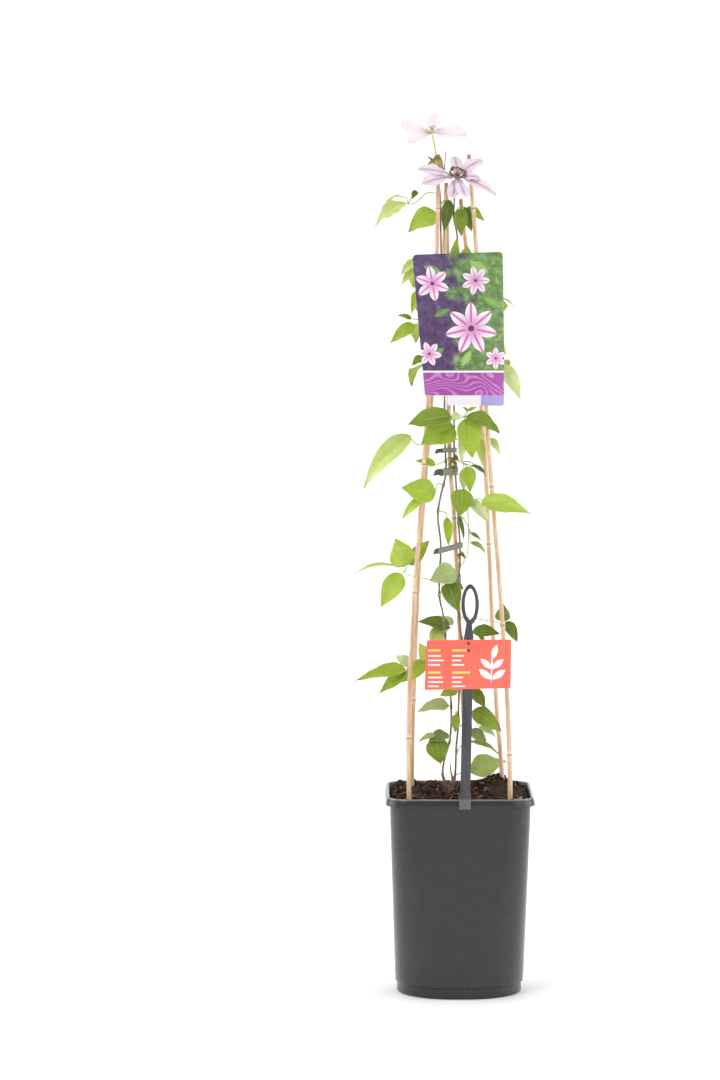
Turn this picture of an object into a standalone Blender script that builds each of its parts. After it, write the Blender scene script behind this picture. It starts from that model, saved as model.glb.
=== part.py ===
"""A climbing clematis in a nursery pot, trained on five bamboo canes.

A black pot, square with round corners at the rim and round at the foot, holds
dark compost. Five canes and the plant's crown stand in plain holes in it. Two
main vines climb by the centre cane, held by tape ties, and carry the leaf
sprays, a large open flower and a pale older one at the top. A looped label
strap hooks over the rim with a small card, and a tall card leans on the canes.

Metres, +Z up, -Y towards the viewer, the origin at the centre of the base.
Plant positions are written in millimetres through mm().
"""
import math

import bmesh
import bpy
from mathutils import Matrix, Vector, noise

# Pot
POT_HEIGHT = 0.273
POT_FOOT_HALF = 0.0845
POT_FOOT_HEIGHT = 0.014
POT_LOW_HALF = 0.0866
POT_TOP_HALF = 0.0950
POT_RIM_HALF = 0.1006
POT_RIM_TOP_HALF = 0.0978
POT_RIM_DEPTH = 0.011
POT_CORNER_TOP = 0.026
POT_CORNER_LOW = 0.078
POT_FOOT_CORNER = 0.076
POT_WALL = 0.0018
POT_FLOOR = 0.0025
CORNER_POINTS = 7
DRAIN_HOLES = 4
DRAIN_RADIUS = 0.006
DRAIN_CIRCLE = 0.058

# Compost
SOIL_LEVEL = 0.2665
SOIL_EDGE = 0.2655
SOIL_LUMPS = 0.0045
GAP = 0.0003

# Canes: radius at the foot and the tip, swelling at a node
CANE_RADIUS = (0.0035, 0.0027)
CANE_NODE_SWELL = 0.0006
CANE_SIDES = 6

# The plant's crown: radius, and its foot and top in millimetres
CROWN_RADIUS = 0.0045
CROWN_FOOT = (-14, -23, 228)
CROWN_TOP = (-14, -23, 282)

# Vines, leaf stalks, blades and the half thickness of a flower's disc
VINE_RADIUS = 0.0013
STALK_RADIUS = 0.0008
DISC_HALF = 0.0011
BLADE_THICKNESS = 0.0008
LARGE_STATIONS = (0.0, 0.12, 0.36, 0.70, 1.0)
SMALL_STATIONS = (0.0, 0.26, 0.66, 1.0)
LARGE_FROM = 0.028
FOLDED_FROM = 0.014
BLADE_LEAST_WIDTH = 0.0016

# Tape ties
TAPE_THICKNESS = 0.0008

# Label strap and its card
STRAP_WIDTH = 0.0135
STRAP_THICKNESS = 0.0016
STRAP_FRONT = -0.1026
STRAP_FOOT_X = 0.0055
STRAP_LEAN = 0.020
STUD_RADIUS = 0.0019
STUD_HEIGHTS = (0.4745, 0.4840)
STUD_FRONT = -0.1047
CARD_THICKNESS = 0.0008


def mm(x, y, z):
    """A point given in millimetres."""
    return Vector((x, y, z)) * 0.001


def through(points, steps):
    """Points along a smooth curve through the given ones."""
    ends = [points[0] * 2 - points[1]] + list(points) + [points[-1] * 2 - points[-2]]
    line = [points[0].copy()]
    for a, b, c, d in zip(ends, ends[1:], ends[2:], ends[3:]):
        for i in range(1, steps + 1):
            t = i / steps
            line.append(((b * 2) + (c - a) * t + (a * 2 - b * 5 + c * 4 - d) * t * t
                         + (b * 3 - a - c * 3 + d) * t ** 3) * 0.5)
    return line


def at_height(line, z):
    """The point of a rising line at height z."""
    for low, high in zip(line, line[1:]):
        if low.z <= z <= high.z:
            return low.lerp(high, (z - low.z) / (high.z - low.z))
    return line[-1].copy() if z > line[-1].z else line[0].copy()


def material(name, colour, roughness):
    """A Principled material."""
    made = bpy.data.materials.new(name)
    made.use_nodes = True
    shader = made.node_tree.nodes["Principled BSDF"]
    shader.inputs["Base Color"].default_value = (*colour, 1.0)
    shader.inputs["Roughness"].default_value = roughness
    shader.inputs["Metallic"].default_value = 0.0
    return made


def make_object(name, bm, look):
    """An object in the scene from a bmesh, faces outward, shaded smooth."""
    bmesh.ops.recalc_face_normals(bm, faces=bm.faces)
    mesh = bpy.data.meshes.new(name)
    bm.to_mesh(mesh)
    bm.free()
    mesh.shade_smooth()
    mesh.set_sharp_from_angle(angle=math.radians(40))
    mesh.materials.append(look)
    made = bpy.data.objects.new(name, mesh)
    bpy.context.scene.collection.objects.link(made)
    return made


def boolean(body, others, operation, solver="EXACT"):
    """Joins or cuts body with all the others at once, which are then removed."""
    group = bpy.data.collections.new(body.name + "_others")
    bpy.context.scene.collection.children.link(group)
    for other in others:
        group.objects.link(other)
    change = body.modifiers.new(operation, "BOOLEAN")
    change.operand_type = "COLLECTION"
    change.collection = group
    change.operation = operation
    change.solver = solver
    view = bpy.context.evaluated_depsgraph_get()
    mesh = bpy.data.meshes.new_from_object(body.evaluated_get(view))
    body.modifiers.clear()
    body.data = mesh
    for other in others:
        bpy.data.objects.remove(other)
    bpy.data.collections.remove(group)
    return body


def fuse(name, pieces, look):
    """One body from pieces that run into each other."""
    body = pieces[0]
    if len(pieces) > 1:
        boolean(body, pieces[1:], "UNION", "MANIFOLD")
    body.name = name
    body.data.name = name
    body.data.materials.clear()
    body.data.materials.append(look)
    return body


def sweep(line, radii, sides=6):
    """A closed round tube along a line, carried along with no twist."""
    bm = bmesh.new()
    ring = bmesh.ops.create_circle(bm, segments=sides, radius=1.0)["verts"]
    edges = first = list(bm.edges)
    turn = Vector((0, 0, 1)).rotation_difference(line[1] - line[0])
    old = Matrix.Identity(4)
    last = len(line) - 1
    for i, point in enumerate(line):
        ahead = line[min(i + 1, last)] - line[max(i - 1, 0)]
        turn = (turn @ Vector((0, 0, 1))).rotation_difference(ahead) @ turn
        new = Matrix.LocRotScale(point, turn, Vector.Fill(3, radii[i]))
        if i:
            grown = bmesh.ops.extrude_edge_only(bm, edges=edges)["geom"]
            ring = [part for part in grown if isinstance(part, bmesh.types.BMVert)]
            edges = [part for part in grown if isinstance(part, bmesh.types.BMEdge)
                     and all(v in ring for v in part.verts)]
        bmesh.ops.transform(bm, matrix=new @ old.inverted(), verts=ring)
        old = new
    bmesh.ops.edgeloop_fill(bm, edges=first)
    bmesh.ops.edgeloop_fill(bm, edges=edges)
    return bm


def tube(name, line, radius, look, sides=6, end_radius=None):
    """A tube object that narrows evenly to end_radius."""
    end = radius if end_radius is None else end_radius
    count = len(line) - 1
    radii = [radius + (end - radius) * i / count for i in range(count + 1)]
    return make_object(name, sweep(line, radii, sides), look)


def square_outline(half, corner):
    """Points round a square with round corners, the same number for any size."""
    points = []
    for quarter in range(4):
        for i in range(CORNER_POINTS):
            angle = math.radians(90 * (quarter + i / (CORNER_POINTS - 1)))
            middle = math.radians(45 + 90 * quarter)
            reach = (half - corner) * math.sqrt(2)
            points.append((reach * math.cos(middle) + corner * math.cos(angle),
                           reach * math.sin(middle) + corner * math.sin(angle)))
    return points


def loft(rings):
    """A closed body through rings of (height function or height, outline)."""
    bm = bmesh.new()
    ring = bmesh.ops.create_circle(bm, segments=4 * CORNER_POINTS, radius=0.1)["verts"]
    edges = first = list(bm.edges)
    for i, (height, outline) in enumerate(rings):
        if i:
            grown = bmesh.ops.extrude_edge_only(bm, edges=edges)["geom"]
            new = [part for part in grown if isinstance(part, bmesh.types.BMVert)]
            edges = [part for part in grown if isinstance(part, bmesh.types.BMEdge)
                     and all(v in new for v in part.verts)]
            ring = [min(new, key=lambda v: (v.co - was.co).length) for was in ring]
        for vert, (x, y) in zip(ring, outline):
            vert.co = (x, y, height(x, y) if callable(height) else height)
    bmesh.ops.edgeloop_fill(bm, edges=first)
    bmesh.ops.edgeloop_fill(bm, edges=edges)
    return bm


def pot_half(z):
    """Half width of the pot's outer wall at a height under the rim."""
    return POT_LOW_HALF + (POT_TOP_HALF - POT_LOW_HALF) * z / POT_HEIGHT


def pot_corner(z):
    """Corner radius of the pot's wall, small at the rim and full at the foot."""
    fall = max(0.0, 1 - z / (POT_HEIGHT - POT_RIM_DEPTH))
    return POT_CORNER_TOP + (POT_CORNER_LOW - POT_CORNER_TOP) * fall ** 1.3


def build_pot(look):
    """The pot: foot, tapering wall, flared rim, inner wall, floor and drain holes."""
    top = POT_HEIGHT
    under_rim = top - POT_RIM_DEPTH
    levels = [POT_FOOT_HEIGHT + 0.001, 0.075, 0.140, 0.200, under_rim - 0.003]
    rings = [(0.0, square_outline(POT_FOOT_HALF - 0.0010, POT_FOOT_CORNER - 0.001)),
             (0.0012, square_outline(POT_FOOT_HALF, POT_FOOT_CORNER)),
             (POT_FOOT_HEIGHT - 0.0006, square_outline(POT_FOOT_HALF, POT_FOOT_CORNER))]
    rings += [(z, square_outline(pot_half(z), pot_corner(z))) for z in levels]
    rings += [(under_rim, square_outline(POT_RIM_HALF - 0.0008, 0.030)),
              (under_rim + 0.0015, square_outline(POT_RIM_HALF, 0.031)),
              (top - 0.001, square_outline(POT_RIM_TOP_HALF + 0.0006, 0.029)),
              (top, square_outline(POT_RIM_TOP_HALF, 0.0285)),
              (top, square_outline(POT_RIM_TOP_HALF - 0.0022, 0.0265))]
    rings += inner_rings(0.0)
    pot = make_object("pot", loft(rings), look)
    cutters = []
    for i in range(DRAIN_HOLES):
        angle = math.radians(45 + 360 / DRAIN_HOLES * i)
        middle = Vector((DRAIN_CIRCLE * math.cos(angle), DRAIN_CIRCLE * math.sin(angle), 0))
        line = [middle - Vector((0, 0, 0.01)), middle + Vector((0, 0, 0.01))]
        cutters.append(tube("drain", line, DRAIN_RADIUS, look, 8))
    return boolean(pot, cutters, "DIFFERENCE")


def inner_rings(gap):
    """Rings down the pot's inner wall and foot, drawn in by a gap."""
    inset = POT_WALL + gap
    rings = []
    for z in (0.262, 0.200, 0.140, 0.075, POT_FOOT_HEIGHT + 0.004):
        rings.append((z, square_outline(pot_half(z) - inset, pot_corner(z) - inset)))
    foot = square_outline(POT_FOOT_HALF - inset, POT_FOOT_CORNER - inset)
    rings.append((POT_FOOT_HEIGHT - 0.001, foot))
    rings.append((POT_FLOOR + gap, foot))
    return rings


def soil_height(x, y):
    """The compost's lumpy surface, with a crown mound and a heap at the back right."""
    place = Vector((x, y, 0.0))
    lumps = noise.noise(place * 55) * SOIL_LUMPS + noise.noise(place * 130) * SOIL_LUMPS * 0.6
    mound = 0.006 * math.exp(-((x + 0.012) ** 2 + (y + 0.022) ** 2) / 0.0006)
    heap = 0.015 * math.exp(-((x - 0.050) ** 2 + (y - 0.046) ** 2) / 0.0005)
    return SOIL_LEVEL + lumps + mound + heap


def build_soil(look, canes, crown_foot):
    """The compost plug with its lumpy top and a plain hole for each cane and the crown."""
    rings = list(reversed(inner_rings(GAP)))[:-1]
    edge = square_outline(pot_half(0.262) - POT_WALL - GAP, 0.026)
    rings.append((0.262, edge))
    rings.append((SOIL_EDGE, edge))
    for share in (0.90, 0.74, 0.57, 0.38, 0.18):
        outline = [(x * share, y * share) for x, y in edge]
        rings.append((soil_height, outline))
    soil = make_object("soil", loft(rings), look)
    cutters = []
    for line in canes:
        foot = [p for p in line if p.z < 0.30] + [at_height(line, 0.31)]
        foot[0] = foot[0] - Vector((0, 0, GAP))
        radius = CANE_RADIUS[0] + CANE_NODE_SWELL + GAP
        cutters.append(tube("hole", foot, radius, look, CANE_SIDES))
    bottom, top = crown_foot
    cutters.append(tube("hole", [bottom - Vector((0, 0, GAP)), top], CROWN_RADIUS + GAP, look, 8))
    return boolean(soil, cutters, "DIFFERENCE")


def build_cane(name, line, nodes, look):
    """A bamboo cane that narrows to its tip and swells at its nodes."""
    heights = {line[0].z, line[-1].z}
    for z in nodes:
        heights.update((z - 0.004, z, z + 0.004))
    heights.update(p.z for p in line)
    heights = sorted(heights)
    radii = []
    for z in heights:
        share = (z - heights[0]) / (heights[-1] - heights[0])
        swell = CANE_NODE_SWELL if z in nodes else 0.0
        radii.append(CANE_RADIUS[0] + (CANE_RADIUS[1] - CANE_RADIUS[0]) * share + swell)
    return make_object(name, sweep([at_height(line, z) for z in heights], radii, CANE_SIDES), look)


def leaf_outline(t):
    """Half width share of a leaflet: rounded near the stalk, long pointed tip."""
    return 2.55 * t ** 0.55 * (1 - t) ** 0.85


def tepal_outline(t):
    """Half width share of a flower's tepal: narrow at the middle, widest past half way."""
    return 2.6 * t * (1 - t) ** 0.5


def blade_point(base, tip, width, face, arch, fold, wave, outline, t, s):
    """A point of a blade, t along it from 0 to 1 and s across it from -1 to 1.

    face is the direction the upper side looks to, arch lifts the middle, fold
    raises the edges and wave ripples them, each a share of length or width.
    """
    along = tip - base
    side = along.cross(face).normalized()
    normal = side.cross(along).normalized()
    half = max(width * 0.5 * outline(t), BLADE_LEAST_WIDTH * 0.5)
    lift = arch * along.length * math.sin(math.pi * t)
    lift += fold * half * abs(s) + wave * width * math.sin(9 * t + 2 * s) * s * s
    return base + along * t + side * (half * s) + normal * lift


def blade(base, tip, width, face, look, arch=0.10, fold=0.25, wave=0.04, outline=leaf_outline):
    """A thin closed leaflet or tepal from its base to its tip, folded if it is not small."""
    stations = LARGE_STATIONS if width >= LARGE_FROM else SMALL_STATIONS
    halves = 2 if width >= FOLDED_FROM else 1
    bm = bmesh.new()
    bmesh.ops.create_grid(bm, x_segments=len(stations) - 1, y_segments=halves, size=1.0)
    for vert in bm.verts:
        t = stations[round((vert.co.x + 1) * (len(stations) - 1) / 2)]
        s = vert.co.y
        vert.co = blade_point(base, tip, width, face, arch, fold, wave, outline, t, s)
    bmesh.ops.triangulate(bm, faces=bm.faces)
    bmesh.ops.recalc_face_normals(bm, faces=bm.faces)
    bmesh.ops.solidify(bm, geom=bm.faces[:], thickness=BLADE_THICKNESS)
    return make_object("blade", bm, look)


def facing(tilt):
    """Direction tilted from straight up towards the viewer, in degrees."""
    return Vector((0.0, -math.sin(math.radians(tilt)), math.cos(math.radians(tilt))))


# Canes from foot to tip, and the heights of their nodes
CANES = {
    "cane_front_left": (
        [(-52, -54, 30), (-65, -66, 150), (-69, -70, 276), (-69, -65, 404), (-62, -58, 538),
         (-48, -46, 739), (-40, -38, 873), (-32, -28, 1007), (-30, -20, 1134)],
        [0.352, 0.548, 0.720, 0.905, 1.062]),
    "cane_back_left": (
        [(-50, 36, 30), (-61, 41, 150), (-64, 40, 270), (-62, 38, 392), (-55, 34, 571),
         (-43, 29, 735), (-33, 25, 871), (-22, 20, 1006), (-19, 18, 1087)],
        [0.392, 0.590, 0.780, 0.960]),
    "cane_centre": (
        [(16, -50, 30), (14, -49, 150), (11, -45, 273), (4, -35, 400), (-1, -25, 508),
         (-7, -18, 629), (-14, -12, 735), (-16, -6, 872), (-17, -2, 1007), (-19, 0, 1096)],
        [0.420, 0.645, 0.726, 0.930]),
    "cane_back_right": (
        [(48, 38, 30), (57, 44, 150), (60, 45, 274), (51, 40, 392), (42, 34, 571),
         (34, 29, 735), (22, 25, 871), (8, 20, 1010), (1, 18, 1074)],
        [0.350, 0.606, 0.820, 0.985]),
    "cane_front_right": (
        [(50, -54, 30), (63, -66, 150), (67, -70, 273), (63, -65, 404), (54, -58, 538),
         (38, -46, 739), (30, -38, 873), (21, -28, 1007), (11, -20, 1134)],
        [0.330, 0.504, 0.690, 0.890, 1.062]),
}

# The two main vines and the dead stubs of older ones
VINES = {
    "right": [(-13, -24, 277), (-8, -31, 293), (-6, -34, 303), (-5, -37, 335),
              (-3, -41, 360), (-2, -43, 396), (0, -38, 440), (3, -34, 478),
              (0, -32, 498), (-3, -28, 553), (-1, -27, 570),
              (0, -25, 607), (-3, -21, 650), (-6, -19, 700), (-8, -17, 722), (-8, -16, 745),
              (-8, -14, 800), (-7, -12, 870), (-5, -10, 950), (-4, -9, 1020), (-9, -9, 1050),
              (-8, -13, 1076)],
    "left": [(-15, -22, 277), (-21, -25, 292), (-23, -26, 303), (-20, -29, 322),
             (-13, -31, 349), (-12, -31, 396), (-19, -30, 478),
             (-23, -28, 516), (-28, -25, 545), (-26, -22, 607), (-30, -20, 648),
             (-26, -19, 676), (-20, -18, 700), (-19, -16, 715), (-20, -14, 742), (-21, -10, 800),
             (-22, -6, 870), (-24, -2, 950), (-26, 1, 1020), (-27, 2, 1074), (-30, -8, 1105),
             (-31, -13, 1122)],
}
STUBS = [[(-14, -22, 277), (-21, -17, 287), (-25, -15, 298)],
         [(-13, -24, 278), (-10, -27, 292), (-12, -29, 302), (-13, -31, 314)],
         [(-13, -22, 278), (-7, -19, 286), (-5, -18, 296)],
         [(-15, -24, 277), (-20, -31, 284), (-21, -34, 294)]]
WITHERED = [((-44, -17, 1132), 5), ((-44, -17, 1118), 6), ((-22, -9, 1112), 5)]

# Tape ties: the height of the middle, the tape's width, its slope, the left
# tail's length and the vines held
TIES = {
    "tie_low": (0.5625, 0.013, 0.0, 0.000, ["right"]),
    "tie_middle": (0.6070, 0.007, 0.25, 0.004, ["right", "left"]),
    "tie_upper": (0.7080, 0.009, 0.0, 0.010, ["right", "left"]),
    "tie_top": (0.7370, 0.006, 0.0, 0.008, ["right", "left"]),
}


def leaf(base, tip, width, tilt, at=-1, **shape):
    """A leaflet: its two ends and width in millimetres and its upper side's tilt.

    at counts along the stalk's course to the point that it grows from.
    """
    return mm(*base), mm(*tip), width * 0.001, facing(tilt), shape, at


# Leaf sprays: the vine and height they grow from, the stalk's course and the leaflets
SPRAYS = {
    "leaf_top_left": ("left", 1082, [(-45, -14, 1083), (-60, -20, 1070), (-71, -23, 1068)], [
        leaf((-75, -25, 1070), (-115, -45, 1039), 25, 35, arch=0.12),
        leaf((-72, -19, 1076), (-101, -8, 1069), 13, 5, arch=0.16),
        leaf((-60, -24, 1086), (-65, -27, 1075), 9, 80, fold=0.6)]),
    "leaf_top_wide": ("left", 1066, [(-25, -8, 1070), (-22, -12, 1072)], [
        leaf((-33, -12, 1057), (-70, -21, 1031), 31, 62, arch=0.06),
        leaf((-15, -13, 1073), (-22, -15, 1031), 16, 82)]),
    "leaf_top_right": ("right", 1056, [(-4, -12, 1062), (0, -13, 1064)], [
        leaf((1, -14, 1062), (1, -19, 1025), 19, 75),
        leaf((6, -13, 1063), (15, -15, 1031), 17, 72),
        leaf((9, -9, 1063), (32, -10, 1046), 14, 60)]),
    "leaf_over_card": ("right", 990, [(0, -15, 983), (0, -17, 982)], [
        leaf((-8, -18, 985), (-5, -20, 1023), 14, 85, fold=0.1),
        leaf((6, -18, 984), (9, -22, 1013), 22, 80, fold=0.1)]),
    "leaf_card_left_high": ("left", 965, [(-34, -6, 972), (-48, -8, 980)], [
        leaf((-58, -14, 992), (-80, -24, 974), 14, 60),
        leaf((-58, -8, 983), (-79, -14, 960), 13, 62),
        leaf((-52, 2, 974), (-62, 42, 954), 26, 25)]),
    "leaf_card_left_mid": ("left", 925, [(-34, -4, 935), (-50, -8, 946)], [
        leaf((-58, -16, 951), (-66, -25, 921), 13, 70),
        leaf((-53, 2, 944), (-58, 40, 924), 24, 20)]),
    "leaf_card_left_low": ("left", 898, [(-34, -6, 906), (-52, -10, 911)], [
        leaf((-62, -17, 906), (-94, -30, 883), 18, 62),
        leaf((-66, -14, 914), (-84, -16, 919), 8, 50),
        leaf((-52, 0, 906), (-60, 44, 880), 25, 22)]),
    "leaf_card_left_foot": ("right", 848, [(-20, -16, 850), (-40, -12, 856)], [
        leaf((-50, -16, 862), (-65, -25, 852), 13, 55),
        leaf((-50, 4, 852), (-66, 42, 822), 24, 25)]),
    "leaf_card_right_high": ("right", 935, [(15, -10, 942), (40, -13, 946)], [
        leaf((45, -13, 948), (60, 12, 924), 22, 40),
        leaf((52, -18, 943), (72, -28, 931), 3, 30, fold=0.0)]),
    "leaf_card_right_low": ("right", 852, [(15, -10, 858), (42, -11, 864)], [
        leaf((56, -16, 852), (81, -30, 806), 21, 70),
        leaf((46, -14, 880), (62, -20, 866), 16, 72),
        leaf((46, 2, 860), (62, 42, 836), 24, 25)]),
    "leaf_card_back_low": ("right", 884, [(-5, 8, 890), (-3, 28, 894)], [
        leaf((-3, 36, 893), (4, 80, 866), 28, 10),
        leaf((4, 34, 892), (32, 62, 879), 22, 10)]),
    "leaf_card_back_high": ("left", 955, [(-9, 12, 962), (-7, 26, 966)], [
        leaf((-6, 34, 967), (-8, 82, 944), 28, 10),
        leaf((0, 33, 966), (28, 60, 958), 22, 10)]),
    "leaf_upper_left": ("right", 772, [(-8, -32, 778), (-8, -40, 781)], [
        leaf((-14, -52, 785), (-70, -72, 776), 28, 50, arch=0.05),
        leaf((-9, -48, 770), (-53, -62, 749), 42, 68, arch=0.06)]),
    "leaf_upper_far_left": ("left", 756, [(-40, -28, 746), (-58, -34, 746), (-66, -38, 753)], [
        leaf((-68, -38, 758), (-131, -60, 688), 29, 60, arch=0.20)]),
    "leaf_upper_right": ("right", 778, [(0, -36, 782), (5, -44, 783)], [
        leaf((8, -52, 785), (52, -66, 765), 26, 42, arch=0.08),
        leaf((10, -50, 782), (16, -56, 729), 34, 80, arch=0.05),
        leaf((5, -44, 768), (2, -40, 718), 12, 82)]),
    "leaf_side_right": ("right", 752, [(18, -24, 757), (38, -28, 758)], [
        leaf((41, -30, 754), (53, -36, 733), 10, 70),
        leaf((24, -30, 756), (30, -32, 717), 14, 78)]),
    "leaf_small_left": ("left", 722, [(-26, -26, 720), (-30, -32, 719)], [
        leaf((-34, -34, 718), (-60, -38, 724), 11, 60)]),
    "leaf_mid_centre": ("right", 724, [(0, -28, 722), (4, -33, 720)], [
        leaf((9, -36, 716), (13, -42, 683), 20, 80),
        leaf((4, -36, 713), (5, -34, 684), 12, 80),
        leaf((14, -34, 717), (35, -36, 704), 10, 25)]),
    "leaf_mid_left": ("left", 690, [(-30, -40, 694), (-33, -56, 688)], [
        leaf((-35, -64, 680), (-80, -70, 690), 34, 72, arch=0.05),
        leaf((-52, -64, 676), (-79, -64, 648), 13, 60)]),
    "leaf_mid_heart": ("right", 582, [(6, -31, 590), (10, -33, 600), (11, -34, 640),
                                      (8, -38, 684)], [
        leaf((2, -44, 686), (-1, -48, 650), 31, 78, arch=0.04),
        leaf((12, -41, 672), (38, -47, 641), 15, 62)]),
    "leaf_mid_small": ("right", 640, [(4, -30, 646), (12, -42, 632)], [
        leaf((14, -42, 627), (28, -42, 617), 7, 40),
        leaf((14, -42, 614), (34, -42, 600), 10, 30)]),
    "leaf_mid_right": ("right", 660, [(8, -28, 664), (21, -33, 672), (25, -56, 674)], [
        leaf((28, -64, 672), (93, -76, 656), 28, 65, arch=0.08)]),
    "leaf_rolled": ("left", 655, [(-24, -26, 655), (-19, -29, 653)], [
        leaf((-18, -31, 647), (-16, -34, 608), 13, 82, fold=0.7)]),
    "leaf_left_fan": ("left", 560, [(-45, -30, 564), (-65, -34, 568), (-75, -38, 574)], [
        leaf((-74, -38, 582), (-87, -44, 620), 35, 76, arch=0.05),
        leaf((-68, -35, 584), (-41, -34, 617), 20, 80),
        leaf((-80, -42, 572), (-107, -54, 528), 29, 76, arch=0.05),
        leaf((-90, -40, 583), (-146, -58, 571), 11, 30, arch=0.10)]),
    "leaf_centre_grey": ("left", 584, [(-14, -32, 582), (-6, -36, 576)], [
        leaf((-5, -38, 572), (-41, -44, 563), 30, 58, arch=0.24)]),
    "leaf_centre_dark": ("left", 542, [(-24, -36, 556), (-18, -37, 566)], [
        leaf((-17, -38, 560), (-3, -42, 521), 27, 76)]),
    "leaf_low_left": ("left", 488, [(-18, -22, 492), (-13, -18, 496)], [
        leaf((-14, -17, 498), (-56, -22, 506), 21, 55),
        leaf((-22, -16, 494), (-40, -18, 472), 24, 70),
        leaf((-10, -14, 500), (-22, -4, 512), 12, 60)]),
    "leaf_low_right": ("right", 484, [(8, -38, 488), (13, -40, 492)], [
        leaf((17, -42, 494), (54, -46, 491), 17, 62, arch=0.12),
        leaf((25, -42, 490), (34, -44, 479), 7, 60)]),
    "leaf_right_pair": ("right", 512, [(20, -26, 510), (46, -32, 506), (55, -38, 504)], [
        leaf((57, -42, 508), (58, -46, 532), 21, 80),
        leaf((62, -44, 507), (77, -52, 481), 16, 70)]),
    "leaf_low_fan": ("left", 440, [(-32, -28, 444), (-58, -32, 442), (-70, -37, 442)], [
        leaf((-74, -40, 443), (-140, -58, 430), 20, 60, arch=0.12),
        leaf((-74, -40, 440), (-109, -50, 411), 18, 66),
        leaf((-64, -20, 445), (-87, -10, 458), 15, 70),
        leaf((-46, -28, 452), (-80, -36, 424), 21, 66, at=0),
        leaf((-42, -26, 454), (-55, -30, 477), 20, 78, at=0)]),
    "leaf_under_card": ("right", 424, [(3, -46, 420), (6, -48, 418)], [
        leaf((-4, -48, 416), (-27, -52, 408), 17, 62),
        leaf((14, -48, 418), (34, -54, 391), 17, 66)]),
    "leaf_bottom_rib": ("right", 378, [(-5, -47, 386), (-6, -49, 386)], [
        leaf((-6, -50, 382), (-7, -54, 358), 12, 82)]),
    "leaf_bottom_grey": ("left", 392, [(-18, -38, 396), (-20, -42, 395)], [
        leaf((-16, -44, 394), (-57, -52, 387), 24, 42, arch=0.10)]),
    "leaf_bottom_left": ("left", 344, [(-14, -44, 352), (-18, -50, 354)], [
        leaf((-16, -52, 355), (-44, -60, 345), 21, 45, arch=0.16),
        leaf((-32, -58, 350), (-27, -64, 317), 31, 80, arch=0.06, wave=0.10)]),
    "leaf_bottom_right": ("right", 366, [(8, -48, 372), (14, -50, 382)], [
        leaf((18, -50, 388), (56, -52, 360), 27, 62),
        leaf((16, -47, 362), (36, -51, 342), 16, 66),
        leaf((26, -40, 364), (48, -42, 351), 11, 45)]),
    "leaf_bottom_thin": ("right", 328, [(-1, -46, 337), (10, -48, 344)], [
        leaf((14, -48, 345), (54, -51, 327), 10, 30)]),
    "leaf_foot_right": ("right", 298, [(2, -12, 298), (10, 30, 296), (15, 50, 297)], [
        leaf((18, 55, 296), (66, 71, 313), 34, 52)]),
}

# Flowers: the middle, the axis, and each tepal's tip and width
MAIN_FLOWER = dict(
    middle=(-6, -52, 1105), axis=(0.22, -0.60, 0.77), back=(-8, -13.3, 1077.3), stamens=11,
    tepals=[((-58, -58, 1115), 19), ((-52, -74, 1095), 20), ((-9, -28, 1131), 18),
            ((28, -36, 1127), 19), ((46, -64, 1081), 20), ((-13, -82, 1077), 19),
            ((5, -84, 1078), 19), ((24, -56, 1103), 17)])
TOP_FLOWER = dict(
    middle=(-38, -15, 1163), axis=(-0.10, -0.50, 0.86), back=(-31.1, -13.2, 1122.8), stamens=5,
    tepals=[((-80, -20, 1174), 21), ((-33, 12, 1188), 21), ((8, -24, 1160), 20),
            ((-70, -46, 1150), 19), ((0, 20, 1170), 19)])


def build_vines(look):
    """The crown, the two main vines and the dead stubs, grown together."""
    pieces = [tube("crown", [mm(*CROWN_FOOT), mm(*CROWN_TOP)], CROWN_RADIUS, look, 8, 0.0034)]
    for points in VINES.values():
        line = [mm(*p) for p in points]
        pieces.append(tube("vine", line, VINE_RADIUS * 1.1, look, 5, VINE_RADIUS * 0.9))
    for points in STUBS:
        line = [mm(*p) for p in points]
        pieces.append(tube("stub", line, 0.0015, look, 4, 0.0006))
    top = at_height([mm(*p) for p in VINES["left"]], 1.116)
    for tip, width in WITHERED:
        pieces.append(blade(top, mm(*tip), width * 0.001, facing(70), look, fold=0.5))
    return fuse("vines", pieces, look)


def wrap(circles, gap, count=12):
    """Points of the tight outline round circles (x, y, radius), a gap away."""
    outline = []
    for i in range(count):
        angle = 2 * math.pi * i / count
        out = Vector((math.cos(angle), math.sin(angle)))
        x, y, radius = max(circles, key=lambda c: c[0] * out.x + c[1] * out.y + c[2])
        outline.append(Vector((x, y)) + out * (radius + gap))
    return outline


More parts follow.
